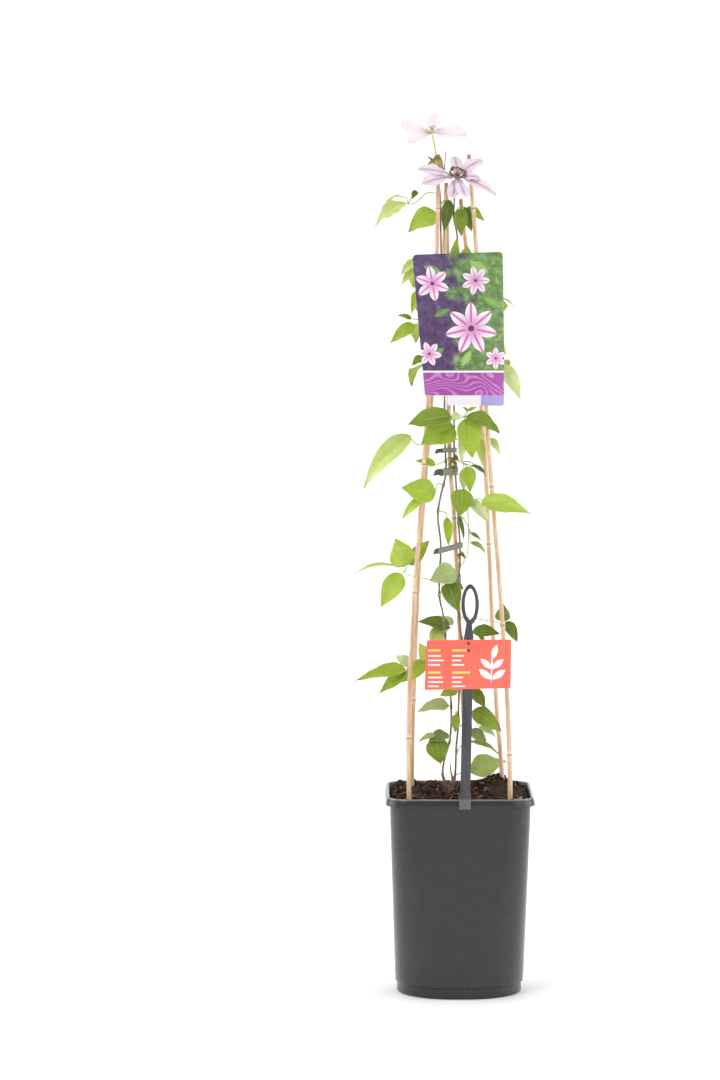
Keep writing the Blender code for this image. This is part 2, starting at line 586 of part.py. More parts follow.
def build_tie(name, centre_cane, vines, look):
    """A band of tape round the centre cane and the vines beside it, with a loose tail."""
    z, width, slope, tail, held = TIES[name]
    middle = at_height(centre_cane, z)
    circles = [(middle.x, middle.y, 0.0034)]
    for vine in held:
        beside = at_height(vines[vine], z)
        circles.append((beside.x, beside.y, VINE_RADIUS * 1.1 + 0.0006))
    outline = wrap(circles, 0.0006)
    bm = bmesh.new()
    ring = bmesh.ops.create_circle(bm, segments=len(outline), radius=0.01)["verts"]
    for vert, point in zip(ring, outline):
        vert.co = (point.x, point.y, z - width / 2 + slope * (point.x - middle.x))
    grown = bmesh.ops.extrude_edge_only(bm, edges=bm.edges[:])["geom"]
    upper = [part for part in grown if isinstance(part, bmesh.types.BMVert)]
    bmesh.ops.translate(bm, vec=(0, 0, width), verts=upper)
    bmesh.ops.recalc_face_normals(bm, faces=bm.faces)
    if sum(f.normal.dot(f.calc_center_median() - middle) for f in bm.faces) < 0:
        bmesh.ops.reverse_faces(bm, faces=bm.faces)
    bmesh.ops.solidify(bm, geom=bm.faces[:], thickness=-TAPE_THICKNESS)
    band = make_object(name, bm, look)
    if tail:
        left = min(outline, key=lambda p: p.x)
        bm = bmesh.new()
        bmesh.ops.create_cube(bm, size=1.0)
        size = Vector((tail + 0.004, TAPE_THICKNESS * 1.6, width * 0.96))
        bmesh.ops.scale(bm, vec=size, verts=bm.verts)
        shift = (left.x - TAPE_THICKNESS * 0.4 - size.x / 2, left.y - 0.0004,
                 z + slope * (left.x - middle.x))
        bmesh.ops.translate(bm, vec=shift, verts=bm.verts)
        fuse(name, [band, make_object("tail", bm, look)], look)
    return band


def strap_x(z):
    """The middle of the leaning strap at a height."""
    return STRAP_FOOT_X + (z - 0.262) * STRAP_LEAN


def slab(name, outline, front, back, look):
    """A flat upright piece between two depths with the (x, z) outline."""
    bm = bmesh.new()
    bmesh.ops.create_circle(bm, cap_ends=True, segments=len(outline), radius=1.0)
    for vert, (x, z) in zip(bm.verts, outline):
        vert.co = (x, front, z)
    sheet = bmesh.ops.extrude_face_region(bm, geom=bm.faces[:])["geom"]
    verts = [part for part in sheet if isinstance(part, bmesh.types.BMVert)]
    bmesh.ops.translate(bm, vec=(0, back - front, 0), verts=verts)
    return make_object(name, bm, look)


def box(name, low, high, look):
    """A block between two corners."""
    bm = bmesh.new()
    bmesh.ops.create_cube(bm, size=1.0)
    bmesh.ops.scale(bm, vec=Vector(high) - Vector(low), verts=bm.verts)
    bmesh.ops.translate(bm, vec=(Vector(high) + Vector(low)) / 2, verts=bm.verts)
    return make_object(name, bm, look)


def eye_outline(half, low, high, middle_x, count=16):
    """A needle's eye outline: a pointed oval from low to high."""
    points = []
    for i in range(count):
        angle = 2 * math.pi * i / count
        z = (low + high) / 2 - (high - low) / 2 * math.cos(angle)
        x = half * math.sin(angle) * (0.86 + 0.14 * abs(math.sin(angle)))
        points.append((middle_x + x, z))
    return points


def build_strap(look):
    """The label strap: rim hook, leaning bar with two studs, neck and looped eye."""
    back = STRAP_FRONT + STRAP_THICKNESS
    half = STRAP_WIDTH / 2
    bar = [(strap_x(0.262) - half, 0.262), (strap_x(0.262) + half, 0.262),
           (strap_x(0.488) + half, 0.488), (strap_x(0.508) + 0.0042, 0.508),
           (strap_x(0.513) + 0.0036, 0.513), (strap_x(0.513) - 0.0036, 0.513),
           (strap_x(0.508) - 0.0042, 0.508), (strap_x(0.488) - half, 0.488)]
    middle = strap_x(0.540) + 0.0008
    eye = slab("eye", eye_outline(0.0122, 0.5085, 0.5635, middle), STRAP_FRONT + 0.0001,
               back - 0.0001, look)
    gap = slab("gap", eye_outline(0.0088, 0.5135, 0.5590, middle), STRAP_FRONT - 0.01,
               back + 0.01, look)
    boolean(eye, [gap], "DIFFERENCE")
    top = POT_HEIGHT + GAP
    x = strap_x(0.268)
    hook_top = box("hook", (x - half - 0.0006, STRAP_FRONT + 0.0002, top),
                   (x + half + 0.0006, -0.0926, top + 0.0016), look)
    hook_back = box("hook", (x - half - 0.0004, -0.0940, top - 0.0055),
                    (x + half + 0.0004, -0.0928, top + 0.0010), look)
    pieces = [slab("bar", bar, STRAP_FRONT, back, look), eye, hook_top, hook_back]
    for z in STUD_HEIGHTS:
        line = [Vector((strap_x(z), back - 0.0004, z)), Vector((strap_x(z), STUD_FRONT, z))]
        pieces.append(tube("stud", line, STUD_RADIUS, look, 10))
    return fuse("label_strap", pieces, look)


def rounded(corners, radius, steps=3):
    """An (x, z) outline with each corner rounded by its own radius."""
    points = []
    for i, (corner, bend) in enumerate(zip(corners, radius)):
        here = Vector(corner)
        before = (Vector(corners[i - 1]) - here).normalized()
        after = (Vector(corners[(i + 1) % len(corners)]) - here).normalized()
        if bend == 0:
            points.append((here.x, here.y))
            continue
        for step in range(steps + 1):
            t = step / steps
            p = here + before * bend * (1 - t) ** 2 + after * bend * t ** 2
            points.append((p.x, p.y))
    return points


def build_care_card(look):
    """The small card, pushed over the strap's two studs."""
    corners = [(-0.049, 0.4215), (0.066, 0.4240), (0.067, 0.4895), (-0.046, 0.4885)]
    front = STRAP_FRONT - GAP - CARD_THICKNESS
    card = slab("care_card", rounded(corners, [0.002] * 4, 2), front, STRAP_FRONT - GAP, look)
    holes = []
    for z in STUD_HEIGHTS:
        line = [Vector((strap_x(z), front - 0.01, z)), Vector((strap_x(z), front + 0.01, z))]
        holes.append(tube("hole", line, STUD_RADIUS + GAP, look, 10))
    return boolean(card, holes, "DIFFERENCE")


def build_picture_card(canes, look):
    """The tall card, leaning on the two front canes, with a tab along its foot."""
    corners = [(-0.048, 0.812), (-0.018, 0.812), (-0.018, 0.7995), (0.058, 0.7985),
               (0.0585, 0.860), (0.0565, 1.0045), (-0.065, 1.0005), (-0.0545, 0.885)]
    card = slab("picture_card", rounded(corners, [0.002, 0, 0.001, 0.004, 0, 0.006, 0.007, 0]),
                -CARD_THICKNESS, 0.0, look)
    low, high = 0.7985, 1.0045
    lean = min(at_height(c, high).y - at_height(c, low).y for c in canes)
    rest = 1.0
    for cane in canes:
        for i in range(21):
            z = low + (high - low) * i / 20
            front = at_height(cane, z).y - CANE_RADIUS[0]
            rest = min(rest, front - lean * (z - low) / (high - low))
    for vert in card.data.vertices:
        vert.co.y += rest - GAP + lean * (vert.co.z - low) / (high - low)
    return card


def root_of(vine, z, towards):
    """Where a stalk starts, just clear of a vine, and the level way out from it."""
    middle = at_height(vine, z)
    out = towards - middle
    out.z = 0.0
    out.normalize()
    return middle + out * (VINE_RADIUS * 1.1 + GAP), out


def build_spray(name, vines, look):
    """A leaf stalk with its leaflets, grown together."""
    vine, height, course, leaflets = SPRAYS[name]
    course = [mm(*p) for p in course]
    start, out = root_of(vines[vine], height * 0.001, course[0])
    line = [start, start + out * 0.002] + course
    pieces = [tube("stalk", line, STALK_RADIUS * 1.2, look, 4, STALK_RADIUS)]
    for base, tip, width, face, shape, at in leaflets:
        end = course[at]
        sunk = base.lerp(tip, 0.10) + (base - end) * 0.02
        line = [end, base, sunk] if (base - end).length > 0.003 else [end, sunk]
        pieces.append(tube("rib", line, STALK_RADIUS * 1.1, look, 3, 0.0006))
        pieces.append(blade(base, tip, width, face, look, **shape))
    return fuse(name, pieces, look)


def flower_frame(flower):
    """The middle and the unit axis of a flower."""
    return mm(*flower["middle"]), Vector(flower["axis"]).normalized()


def build_tepals(name, flower, look):
    """The tepals of a flower, joined at a small disc."""
    middle, axis = flower_frame(flower)
    disc = [middle - axis * DISC_HALF, middle + axis * DISC_HALF]
    pieces = [tube("disc", disc, 0.0050, look, 8)]
    for tip, width in flower["tepals"]:
        tip = mm(*tip)
        flat = (tip - middle) - axis * (tip - middle).dot(axis)
        base = middle + flat.normalized() * 0.0035
        pieces.append(blade(base, tip, width * 0.001, axis, look, arch=0.05, fold=0.12,
                            wave=0.05, outline=tepal_outline))
    return fuse(name, pieces, look)


def build_stamens(name, flower, look):
    """The boss of styles in a flower's middle with a ring of stamens round it."""
    middle, axis = flower_frame(flower)
    foot = middle + axis * (DISC_HALF + GAP + 0.0003)
    boss = [foot, foot + axis * 0.003, foot + axis * 0.0075]
    pieces = [make_object("boss", sweep(boss, [0.0036, 0.0030, 0.0012], 7), look)]
    side = axis.orthogonal().normalized()
    count = flower["stamens"]
    for i in range(count):
        turn = Matrix.Rotation(2 * math.pi * i / count, 3, axis)
        out = turn @ side
        reach = 0.0105 if i % 2 else 0.0085
        line = [foot + axis * 0.0012, foot + axis * 0.0035 + out * reach * 0.55,
                foot + axis * (0.0065 + 0.001 * (i % 3)) + out * reach]
        pieces.append(make_object("stamen", sweep(line, [0.0007, 0.0006, 0.0010], 3), look))
    return fuse(name, pieces, look)


def build_flower_stalk(name, flower, look):
    """The stalk that carries a flower, from just clear of its vine."""
    middle, axis = flower_frame(flower)
    back = mm(*flower["back"])
    head = middle - axis * (DISC_HALF + GAP)
    neck = head - axis * 0.004
    line = through([back, back.lerp(neck, 0.5) + Vector((0, 0, 0.002)), neck], 2) + [head]
    return tube(name, line, 0.0011, look, 5, 0.0013)


def main():
    """Builds every piece."""
    for old in list(bpy.data.objects):
        bpy.data.objects.remove(old)
    plastic = material("black plastic", (0.035, 0.033, 0.036), 0.5)
    compost = material("compost", (0.060, 0.032, 0.018), 0.95)
    bamboo = material("bamboo", (0.62, 0.40, 0.20), 0.55)
    bark = material("vine bark", (0.20, 0.13, 0.075), 0.8)
    green = material("leaf green", (0.22, 0.36, 0.05), 0.5)
    tape = material("tape", (0.05, 0.055, 0.05), 0.6)
    coral = material("coral card", (0.85, 0.14, 0.09), 0.45)
    print_card = material("picture card", (0.20, 0.06, 0.20), 0.35)
    petal = material("pink tepal", (0.72, 0.50, 0.66), 0.6)
    pale = material("pale tepal", (0.88, 0.82, 0.84), 0.6)
    anther = material("dark stamens", (0.18, 0.04, 0.06), 0.7)

    canes = {name: [mm(*p) for p in points] for name, (points, _) in CANES.items()}
    vines = {name: [mm(*p) for p in points] for name, points in VINES.items()}
    build_pot(plastic)
    build_soil(compost, canes.values(), (mm(*CROWN_FOOT), mm(-14, -23, 320)))
    for name, line in canes.items():
        nodes = CANES[name][1]
        build_cane(name, line, nodes, bamboo)
    build_vines(bark)
    for name in TIES:
        build_tie(name, canes["cane_centre"], vines, tape)
    build_strap(plastic)
    build_care_card(coral)
    build_picture_card([canes["cane_front_left"], canes["cane_front_right"]], print_card)
    for name in SPRAYS:
        build_spray(name, vines, green)
    build_tepals("main_flower_tepals", MAIN_FLOWER, petal)
    build_stamens("main_flower_stamens", MAIN_FLOWER, anther)
    build_flower_stalk("main_flower_stalk", MAIN_FLOWER, green)
    build_tepals("top_flower_tepals", TOP_FLOWER, pale)
    build_stamens("top_flower_stamens", TOP_FLOWER, anther)
    build_flower_stalk("top_flower_stalk", TOP_FLOWER, green)


main()
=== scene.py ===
# %% [markdown]
# # A clematis on bamboo canes, in a nursery pot
# This lesson dresses a plain solid model of a climbing plant. The model gives
# every piece its place and size: the pot, the compost, five canes, two vines,
# three dozen leaf sprays, two flowers, four tape ties, a label strap and two
# cards. Each step below looks at one of them and makes a finer piece in its
# place, with the edges, veins, bark and print that the eye expects.

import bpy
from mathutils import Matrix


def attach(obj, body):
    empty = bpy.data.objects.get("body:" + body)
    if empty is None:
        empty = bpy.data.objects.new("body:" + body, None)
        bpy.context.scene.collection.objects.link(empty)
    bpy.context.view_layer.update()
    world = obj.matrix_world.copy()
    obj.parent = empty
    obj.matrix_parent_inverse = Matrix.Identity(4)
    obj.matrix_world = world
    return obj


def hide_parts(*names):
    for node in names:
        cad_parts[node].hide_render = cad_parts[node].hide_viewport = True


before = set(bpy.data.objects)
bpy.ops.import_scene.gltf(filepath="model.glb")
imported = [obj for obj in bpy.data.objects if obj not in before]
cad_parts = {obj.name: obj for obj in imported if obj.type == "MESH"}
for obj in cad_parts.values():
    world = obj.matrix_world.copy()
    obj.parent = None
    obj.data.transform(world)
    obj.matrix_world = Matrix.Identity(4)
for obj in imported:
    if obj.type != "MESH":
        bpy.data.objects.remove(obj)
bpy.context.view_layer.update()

# %% [markdown]
# ## Light, floor and camera
# The plant stands in a bright white studio. A pale floor that curves up into a
# back wall keeps the horizon out of sight. A large soft light above the left
# shoulder gives the form, a weaker one fills the right, and two wide ones at
# the sides draw the pale wedges down the pot's round corners. One overhead and
# one above the back wall keep the floor white. The wall stands nine metres
# back, so that a camera behind the plant is still in front of it. The camera
# is a long lens far away, a little above the flowers and tilted down, which
# keeps the tall canes nearly free of perspective. The standard view transform
# shows white as white, where the default one would turn it grey.

# %% Tools that every step uses
import math
import random

import bmesh
import bpy
from mathutils import Matrix, Vector, noise

ROOT = "root"


def mm(x, y, z):
    """A point given in millimetres, front left of the pot's middle being negative."""
    return Vector((x, y, z)) * 0.001


def finish_mesh(name, bm, material, sharp=40):
    """Turns a bmesh into an object, smooth except over edges sharper than an angle."""
    mesh = bpy.data.meshes.new(name)
    bm.to_mesh(mesh)
    bm.free()
    mesh.shade_smooth()
    mesh.set_sharp_from_angle(angle=math.radians(sharp))
    mesh.materials.append(material)
    made = bpy.data.objects.new(name, mesh)
    bpy.context.scene.collection.objects.link(made)
    return made


def stand_for(piece, slot, *replaced):
    """Puts a finished piece on the body, in the place of solids; the slot is not used."""
    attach(piece, ROOT)
    if replaced:
        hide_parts(*replaced)
    print(piece.name, len(piece.data.polygons), "faces")


# %% A small language for shader maths
class Wire:
    """An output socket that can be added, multiplied and compared like a number."""

    def __init__(self, look, socket):
        self.look = look
        self.socket = socket

    def maths(self, operation, *values):
        made = self.look.node("ShaderNodeMath", {"operation": operation}, dict(enumerate(values)))
        return Wire(self.look, made.outputs[0])

    def __add__(self, other):
        return self.maths("ADD", self, other)

    def __radd__(self, other):
        return self.maths("ADD", other, self)

    def __sub__(self, other):
        return self.maths("SUBTRACT", self, other)

    def __rsub__(self, other):
        return self.maths("SUBTRACT", other, self)

    def __mul__(self, other):
        return self.maths("MULTIPLY", self, other)

    def __rmul__(self, other):
        return self.maths("MULTIPLY", other, self)

    def __truediv__(self, other):
        return self.maths("DIVIDE", self, other)

    def __pow__(self, other):
        return self.maths("POWER", self, other)

    def __lt__(self, other):
        return self.maths("LESS_THAN", self, other)

    def __gt__(self, other):
        return self.maths("GREATER_THAN", self, other)

    def __abs__(self):
        return self.maths("ABSOLUTE", self)

    def sine(self):
        return self.maths("SINE", self)

    def fraction(self):
        return self.maths("FRACT", self)

    def floor(self):
        return self.maths("FLOOR", self)

    def least(self, other):
        return self.maths("MINIMUM", self, other)

    def most(self, other):
        return self.maths("MAXIMUM", self, other)

    def step(self, low, high):
        """0 below low, 1 above high and a smooth rise between."""
        made = self.look.node("ShaderNodeMapRange", {"interpolation_type": "SMOOTHSTEP"},
                              {"Value": self, "From Min": low, "From Max": high})
        return Wire(self.look, made.outputs["Result"])


class Look:
    """A material on Blender's Principled shader, built from expressions."""

    def __init__(self, name, **constants):
        self.material = bpy.data.materials.new(name)
        self.material.use_nodes = True
        self.tree = self.material.node_tree
        self.shader = self.tree.nodes["Principled BSDF"]
        for socket, value in constants.items():
            self.shader.inputs[socket.replace("_", " ")].default_value = value

    def node(self, kind, settings=None, inputs=None):
        """Any other node: its type, its settings and the values or links of its sockets."""
        made = self.tree.nodes.new(kind)
        for key, value in (settings or {}).items():
            if key == "stops":
                self.set_stops(made.color_ramp, value)
            else:
                setattr(made, key, value)
        for key, value in (inputs or {}).items():
            if isinstance(value, Wire):
                self.tree.links.new(value.socket, made.inputs[key])
            else:
                made.inputs[key].default_value = value
        return made

    def set_stops(self, ramp, stops):
        """Stops of a colour ramp as (place, colour)."""
        while len(ramp.elements) < len(stops):
            ramp.elements.new(1.0)
        for element, (place, colour) in zip(ramp.elements, stops):
            element.position = place
            element.color = (*colour, 1.0)

    def place(self, scale=(1, 1, 1), turn=(0, 0, 0), shift=(0, 0, 0)):
        """Object coordinates, stretched, turned and shifted for a pattern."""
        where = self.node("ShaderNodeTexCoord").outputs["Object"]
        made = self.node("ShaderNodeMapping", inputs={
            "Vector": Wire(self, where), "Scale": scale, "Rotation": turn, "Location": shift})
        return Wire(self, made.outputs["Vector"])

    def parts(self, vector):
        """The three numbers of a vector."""
        made = self.node("ShaderNodeSeparateXYZ", inputs={"Vector": vector})
        return [Wire(self, made.outputs[i]) for i in range(3)]

    def attribute(self, name):
        """A number stored on the piece's own vertices."""
        made = self.node("ShaderNodeAttribute", {"attribute_name": name})
        return Wire(self, made.outputs["Fac"])

    def noise(self, vector, scale, detail=3.0, roughness=0.55, distortion=0.0):
        made = self.node("ShaderNodeTexNoise", inputs={
            "Vector": vector, "Scale": scale, "Detail": detail, "Roughness": roughness,
            "Distortion": distortion})
        return Wire(self, made.outputs["Fac"])

    def cells(self, vector, scale, feature="F1", output="Distance"):
        made = self.node("ShaderNodeTexVoronoi", {"feature": feature},
                         {"Vector": vector, "Scale": scale})
        return Wire(self, made.outputs[output])

    def mix(self, share, first, second, blend="MIX"):
        """A colour between two others."""
        made = self.node("ShaderNodeMix", {"data_type": "RGBA", "blend_type": blend})
        for index, value in ((0, share), (6, first), (7, second)):
            if isinstance(value, Wire):
                self.tree.links.new(value.socket, made.inputs[index])
            else:
                colour = value if index == 0 else (*value, 1.0)
                made.inputs[index].default_value = colour
        return Wire(self, made.outputs[2])

    def ramp(self, share, stops):
        made = self.node("ShaderNodeValToRGB", {"stops": stops}, {"Fac": share})
        return Wire(self, made.outputs["Color"])

    def bump(self, height, distance, strength=1.0, under=None):
        """A surface normal from a height, in metres when strength is 1."""
        inputs = {"Height": height, "Distance": distance, "Strength": strength}
        if under is not None:
            inputs["Normal"] = under
        return Wire(self, self.node("ShaderNodeBump", inputs=inputs).outputs["Normal"])

    def wear(self, **links):
        """Feeds the shader's sockets that change over the surface."""
        for socket, value in links.items():
            self.tree.links.new(value.socket, self.shader.inputs[socket.replace("_", " ")])
        return self.material


# %% Floor and back wall in one sheet
FLOOR_DEPTH = 8.6
FLOOR_HALF_WIDTH = 14.0
WALL_HEIGHT = 6.0
SWEEP_RADIUS = 1.2

paper = Look("studio paper", Roughness=0.9)
grain = paper.noise(paper.place(), 60.0)
studio_white = paper.wear(Base_Color=paper.mix(grain, (0.88, 0.88, 0.88), (0.92, 0.92, 0.92)))

bm = bmesh.new()
start = bm.verts.new((-FLOOR_HALF_WIDTH, -FLOOR_HALF_WIDTH, -0.0005))
edge = [start]
bmesh.ops.extrude_vert_indiv(bm, verts=edge)
bm.verts.ensure_lookup_table()
bm.verts[-1].co.y = FLOOR_DEPTH
wall_foot = bm.verts[-1]
bmesh.ops.spin(bm, geom=[wall_foot], cent=(0, FLOOR_DEPTH, SWEEP_RADIUS), axis=(1, 0, 0),
               dvec=(0, 0, 0), angle=math.radians(90), steps=16, use_duplicate=False)
bm.verts.ensure_lookup_table()
wall_top = bmesh.ops.extrude_vert_indiv(bm, verts=[bm.verts[-1]])["verts"][0]
wall_top.co.z = WALL_HEIGHT
side = bmesh.ops.extrude_edge_only(bm, edges=bm.edges[:])["geom"]
far_side = [v for v in side if isinstance(v, bmesh.types.BMVert)]
bmesh.ops.translate(bm, vec=(2 * FLOOR_HALF_WIDTH, 0, 0), verts=far_side)
bmesh.ops.recalc_face_normals(bm, faces=bm.faces)
backdrop = finish_mesh("studio_floor", bm, studio_white)
print("studio floor", [round(n, 2) for n in backdrop.dimensions])


# %% Soft lights and a pale sky
def soft_light(name, place, aim, size, watts, tint=(1.0, 1.0, 1.0)):
    """A rectangular light that faces a point."""
    lamp = bpy.data.lights.new(name, "AREA")
    lamp.shape = "RECTANGLE"
    lamp.size, lamp.size_y = size
    lamp.energy = watts
    lamp.color = tint
    made = bpy.data.objects.new(name, lamp)
    made.location = place
    made.rotation_euler = (Vector(aim) - Vector(place)).to_track_quat("-Z", "Y").to_euler()
    bpy.context.scene.collection.objects.link(made)
    return made


soft_light("key", (-1.8, -2.6, 2.6), (0, 0, 0.6), (1.6, 1.6), 42)
soft_light("fill", (1.8, -2.3, 1.0), (0, 0, 0.4), (2.2, 2.4), 21)
soft_light("left_wing", (-1.6, 0.10, 0.7), (0, 0, 0.4), (1.4, 1.8), 21)
soft_light("right_wing", (1.6, 0.00, 0.7), (0, 0, 0.4), (1.5, 1.8), 22)
soft_light("overhead", (0, 0.5, 3.4), (0, 0.5, 0), (2.4, 2.4), 20)
soft_light("wall_wash", (0, 5.2, 4.2), (0, 5.6, 0), (7.0, 1.2), 300)

sky = bpy.data.worlds.new("studio sky")
sky.use_nodes = True
sky.node_tree.nodes["Background"].inputs["Color"].default_value = (1.0, 1.0, 1.0, 1.0)
sky.node_tree.nodes["Background"].inputs["Strength"].default_value = 0.56
bpy.context.scene.world = sky
bpy.context.scene.view_settings.view_transform = "Standard"

# %% Camera
CAMERA_PLACE = (-0.135, -6.204, 1.119)
CAMERA_PITCH = 0.0812
LENS_MM = 153.2

lens = bpy.data.cameras.new("camera")
lens.sensor_fit = "VERTICAL"
lens.sensor_height = 36.0
lens.lens = LENS_MM
camera = bpy.data.objects.new("camera", lens)
camera.location = CAMERA_PLACE
camera.rotation_euler = (math.pi / 2 - CAMERA_PITCH, 0, 0)
bpy.context.scene.collection.objects.link(camera)
bpy.context.scene.camera = camera
print("camera", CAMERA_PLACE, "lens", LENS_MM, "mm")

# %% [markdown]
# ## Curves, tubes and outlines
# Nearly everything on a climber is a thin round stem along a bent line. A
# smooth curve through a few measured points gives the line. A circle is then
# extruded from point to point and turned with the line, as if it were threaded
# on it, so a stem can swell and taper. The pot, the compost and the cards start
# from an outline that is raised or lofted in the same way.

# %% Smooth lines
def through(points, steps):
    """Points along a smooth curve through the given ones."""
    ends = [points[0] * 2 - points[1]] + list(points) + [points[-1] * 2 - points[-2]]
    line = [points[0].copy()]
    for a, b, c, d in zip(ends, ends[1:], ends[2:], ends[3:]):
        for i in range(1, steps + 1):
            t = i / steps
            line.append(((b * 2) + (c - a) * t + (a * 2 - b * 5 + c * 4 - d) * t * t
                         + (b * 3 - a - c * 3 + d) * t ** 3) * 0.5)
    return line


def at_height(line, z):
    """The point of a rising line at height z."""
    for low, high in zip(line, line[1:]):
        if low.z <= z <= high.z:
            return low.lerp(high, (z - low.z) / (high.z - low.z))
    return line[-1].copy() if z > line[-1].z else line[0].copy()


# %% Stems: a circle threaded along a line
MARKS = ("along", "across", "tone", "grey")


def new_mesh():
    """A bmesh whose vertices can carry the numbers that the materials read."""
    bm = bmesh.new()
    for mark in MARKS:
        bm.verts.layers.float.new(mark)
    return bm


def mark_verts(bm, verts, **values):
    """Stores numbers on vertices."""
    for name, value in values.items():
        layer = bm.verts.layers.float[name]
        for vert in verts:
            vert[layer] = value(vert) if callable(value) else value


def stem(line, radii, sides=8, tone=0.5, along=None, round_ends=True):
    """A bmesh tube along a line with its own radius at each point."""
    bm = new_mesh()
    ring = bmesh.ops.create_circle(bm, segments=sides, radius=1.0)["verts"]
    edges = first = list(bm.edges)
    turn = Vector((0, 0, 1)).rotation_difference(line[1] - line[0])
    old = Matrix.Identity(4)
    last = len(line) - 1
    for i, point in enumerate(line):
        ahead = line[min(i + 1, last)] - line[max(i - 1, 0)]
        turn = (turn @ Vector((0, 0, 1))).rotation_difference(ahead) @ turn
        new = Matrix.LocRotScale(point, turn, Vector.Fill(3, radii[i]))
        if i:
            grown = bmesh.ops.extrude_edge_only(bm, edges=edges)["geom"]
            ring = [part for part in grown if isinstance(part, bmesh.types.BMVert)]
            edges = [part for part in grown if isinstance(part, bmesh.types.BMEdge)
                     and all(v in ring for v in part.verts)]
        bmesh.ops.transform(bm, matrix=new @ old.inverted(), verts=ring)
        mark_verts(bm, ring, along=along[i] if along else i / last, tone=tone)
        old = new
    for end in (first, edges):
        bmesh.ops.edgeloop_fill(bm, edges=end)
    if round_ends:
        caps = [face for face in bm.faces if len(face.verts) == sides]
        bmesh.ops.inset_region(bm, faces=caps, thickness=min(radii) * 0.3, depth=min(radii) * 0.2,
                               use_even_offset=True)
    bmesh.ops.recalc_face_normals(bm, faces=bm.faces)
    return bm


def add_to(whole, part):
    """Adds one bmesh to another and frees it."""
    mesh = bpy.data.meshes.new("part")
    part.to_mesh(mesh)
    part.free()
    whole.from_mesh(mesh)
    bpy.data.meshes.remove(mesh)


def taper(count, start, end):
    """Radii that change evenly along a stem."""
    return [start + (end - start) * i / (count - 1) for i in range(count)]


# %% Outlines with round corners, and bodies lofted through them
CORNER_POINTS = 15


def square_outline(half, corner):
    """Points round a square with round corners, the same number for any size."""
    points = []
    reach = (half - corner) * math.sqrt(2)
    for quarter in range(4):
        middle = math.radians(45 + 90 * quarter)
        for i in range(CORNER_POINTS):
            angle = math.radians(90 * (quarter + i / (CORNER_POINTS - 1)))
            points.append((reach * math.cos(middle) + corner * math.cos(angle),
                           reach * math.sin(middle) + corner * math.sin(angle)))
    return points


def loft(rings):
    """A closed bmesh through rings of (height or height function, outline)."""
    bm = new_mesh()
    ring = bmesh.ops.create_circle(bm, segments=4 * CORNER_POINTS, radius=0.1)["verts"]
    edges = first = list(bm.edges)
    for i, (height, outline) in enumerate(rings):
        if i:
            grown = bmesh.ops.extrude_edge_only(bm, edges=edges)["geom"]
            new = {part for part in grown if isinstance(part, bmesh.types.BMVert)}
            edges = [part for part in grown if isinstance(part, bmesh.types.BMEdge)
                     and all(v in new for v in part.verts)]
            joined = {v: other for part in grown if isinstance(part, bmesh.types.BMVert)
                      for v in [part] for e in v.link_edges
                      for other in [e.other_vert(v)] if other not in new}
            above = {low: high for high, low in joined.items()}
            ring = [above[low] for low in ring]
        for vert, (x, y) in zip(ring, outline):
            vert.co = (x, y, height(x, y) if callable(height) else height)
    for end in (first, edges):
        bmesh.ops.edgeloop_fill(bm, edges=end)
    bmesh.ops.recalc_face_normals(bm, faces=bm.faces)
    return bm


def cut(body, cutters, sharp):
    """Cuts bodies out of another, removes them, and marks the new sharp edges."""
    group = bpy.data.collections.new("cutters")
    bpy.context.scene.collection.children.link(group)
    for cutter in cutters:
        group.objects.link(cutter)
    change = body.modifiers.new("cut", "BOOLEAN")
    change.operand_type = "COLLECTION"
    change.collection = group
    change.operation = "DIFFERENCE"
    change.solver = "EXACT"
    view = bpy.context.evaluated_depsgraph_get()
    cut_mesh = bpy.data.meshes.new_from_object(body.evaluated_get(view))
    body.modifiers.clear()
    body.data = cut_mesh
    cut_mesh.set_sharp_from_angle(angle=math.radians(sharp))
    for cutter in cutters:
        bpy.data.objects.remove(cutter)
    bpy.data.collections.remove(group)


# %% [markdown]
# ## The pot
# The pot is thin black plastic, moulded in one piece. Its rim is square with
# round corners and its foot is round, so each corner is a slice of a cone and
# the flat front narrows downwards. One loft makes all of it: outlines from the
# foot to the rim and back down inside, whose corner radius grows towards the
# foot. The plastic has a fine sanded grain, dull scuffs and a few paler rings
# where water and dust have dried.

# %% Pot sizes, in metres
POT_HEIGHT = 0.273
FOOT_HALF = 0.0845
FOOT_HEIGHT = 0.014
WALL_LOW_HALF = 0.0866
WALL_TOP_HALF = 0.0950
RIM_HALF = 0.1006
RIM_TOP_HALF = 0.0978
RIM_DEPTH = 0.011
CORNER_AT_RIM = 0.026
CORNER_AT_FOOT = 0.078
FOOT_CORNER = 0.076
WALL = 0.0018
POT_FLOOR = 0.0025
DRAIN_RADIUS = 0.006
DRAIN_CIRCLE = 0.058


def wall_half(z):
    """Half width of the pot's wall at a height."""
    return WALL_LOW_HALF + (WALL_TOP_HALF - WALL_LOW_HALF) * z / POT_HEIGHT


def wall_corner(z):
    """Corner radius of the wall: small at the rim, nearly round at the foot."""
    fall = max(0.0, 1 - z / (POT_HEIGHT - RIM_DEPTH))
    return CORNER_AT_RIM + (CORNER_AT_FOOT - CORNER_AT_RIM) * fall ** 1.3


def inner_rings(inset):
    """Rings down the pot's inner wall and foot."""
    rings = [(z, square_outline(wall_half(z) - inset, wall_corner(z) - inset))
             for z in (0.262, 0.230, 0.200, 0.170, 0.140, 0.107, 0.075, 0.045, FOOT_HEIGHT + 0.004)]
    foot = square_outline(FOOT_HALF - inset, FOOT_CORNER - inset)
    return rings + [(FOOT_HEIGHT - 0.001, foot), (POT_FLOOR + inset - WALL, foot)]


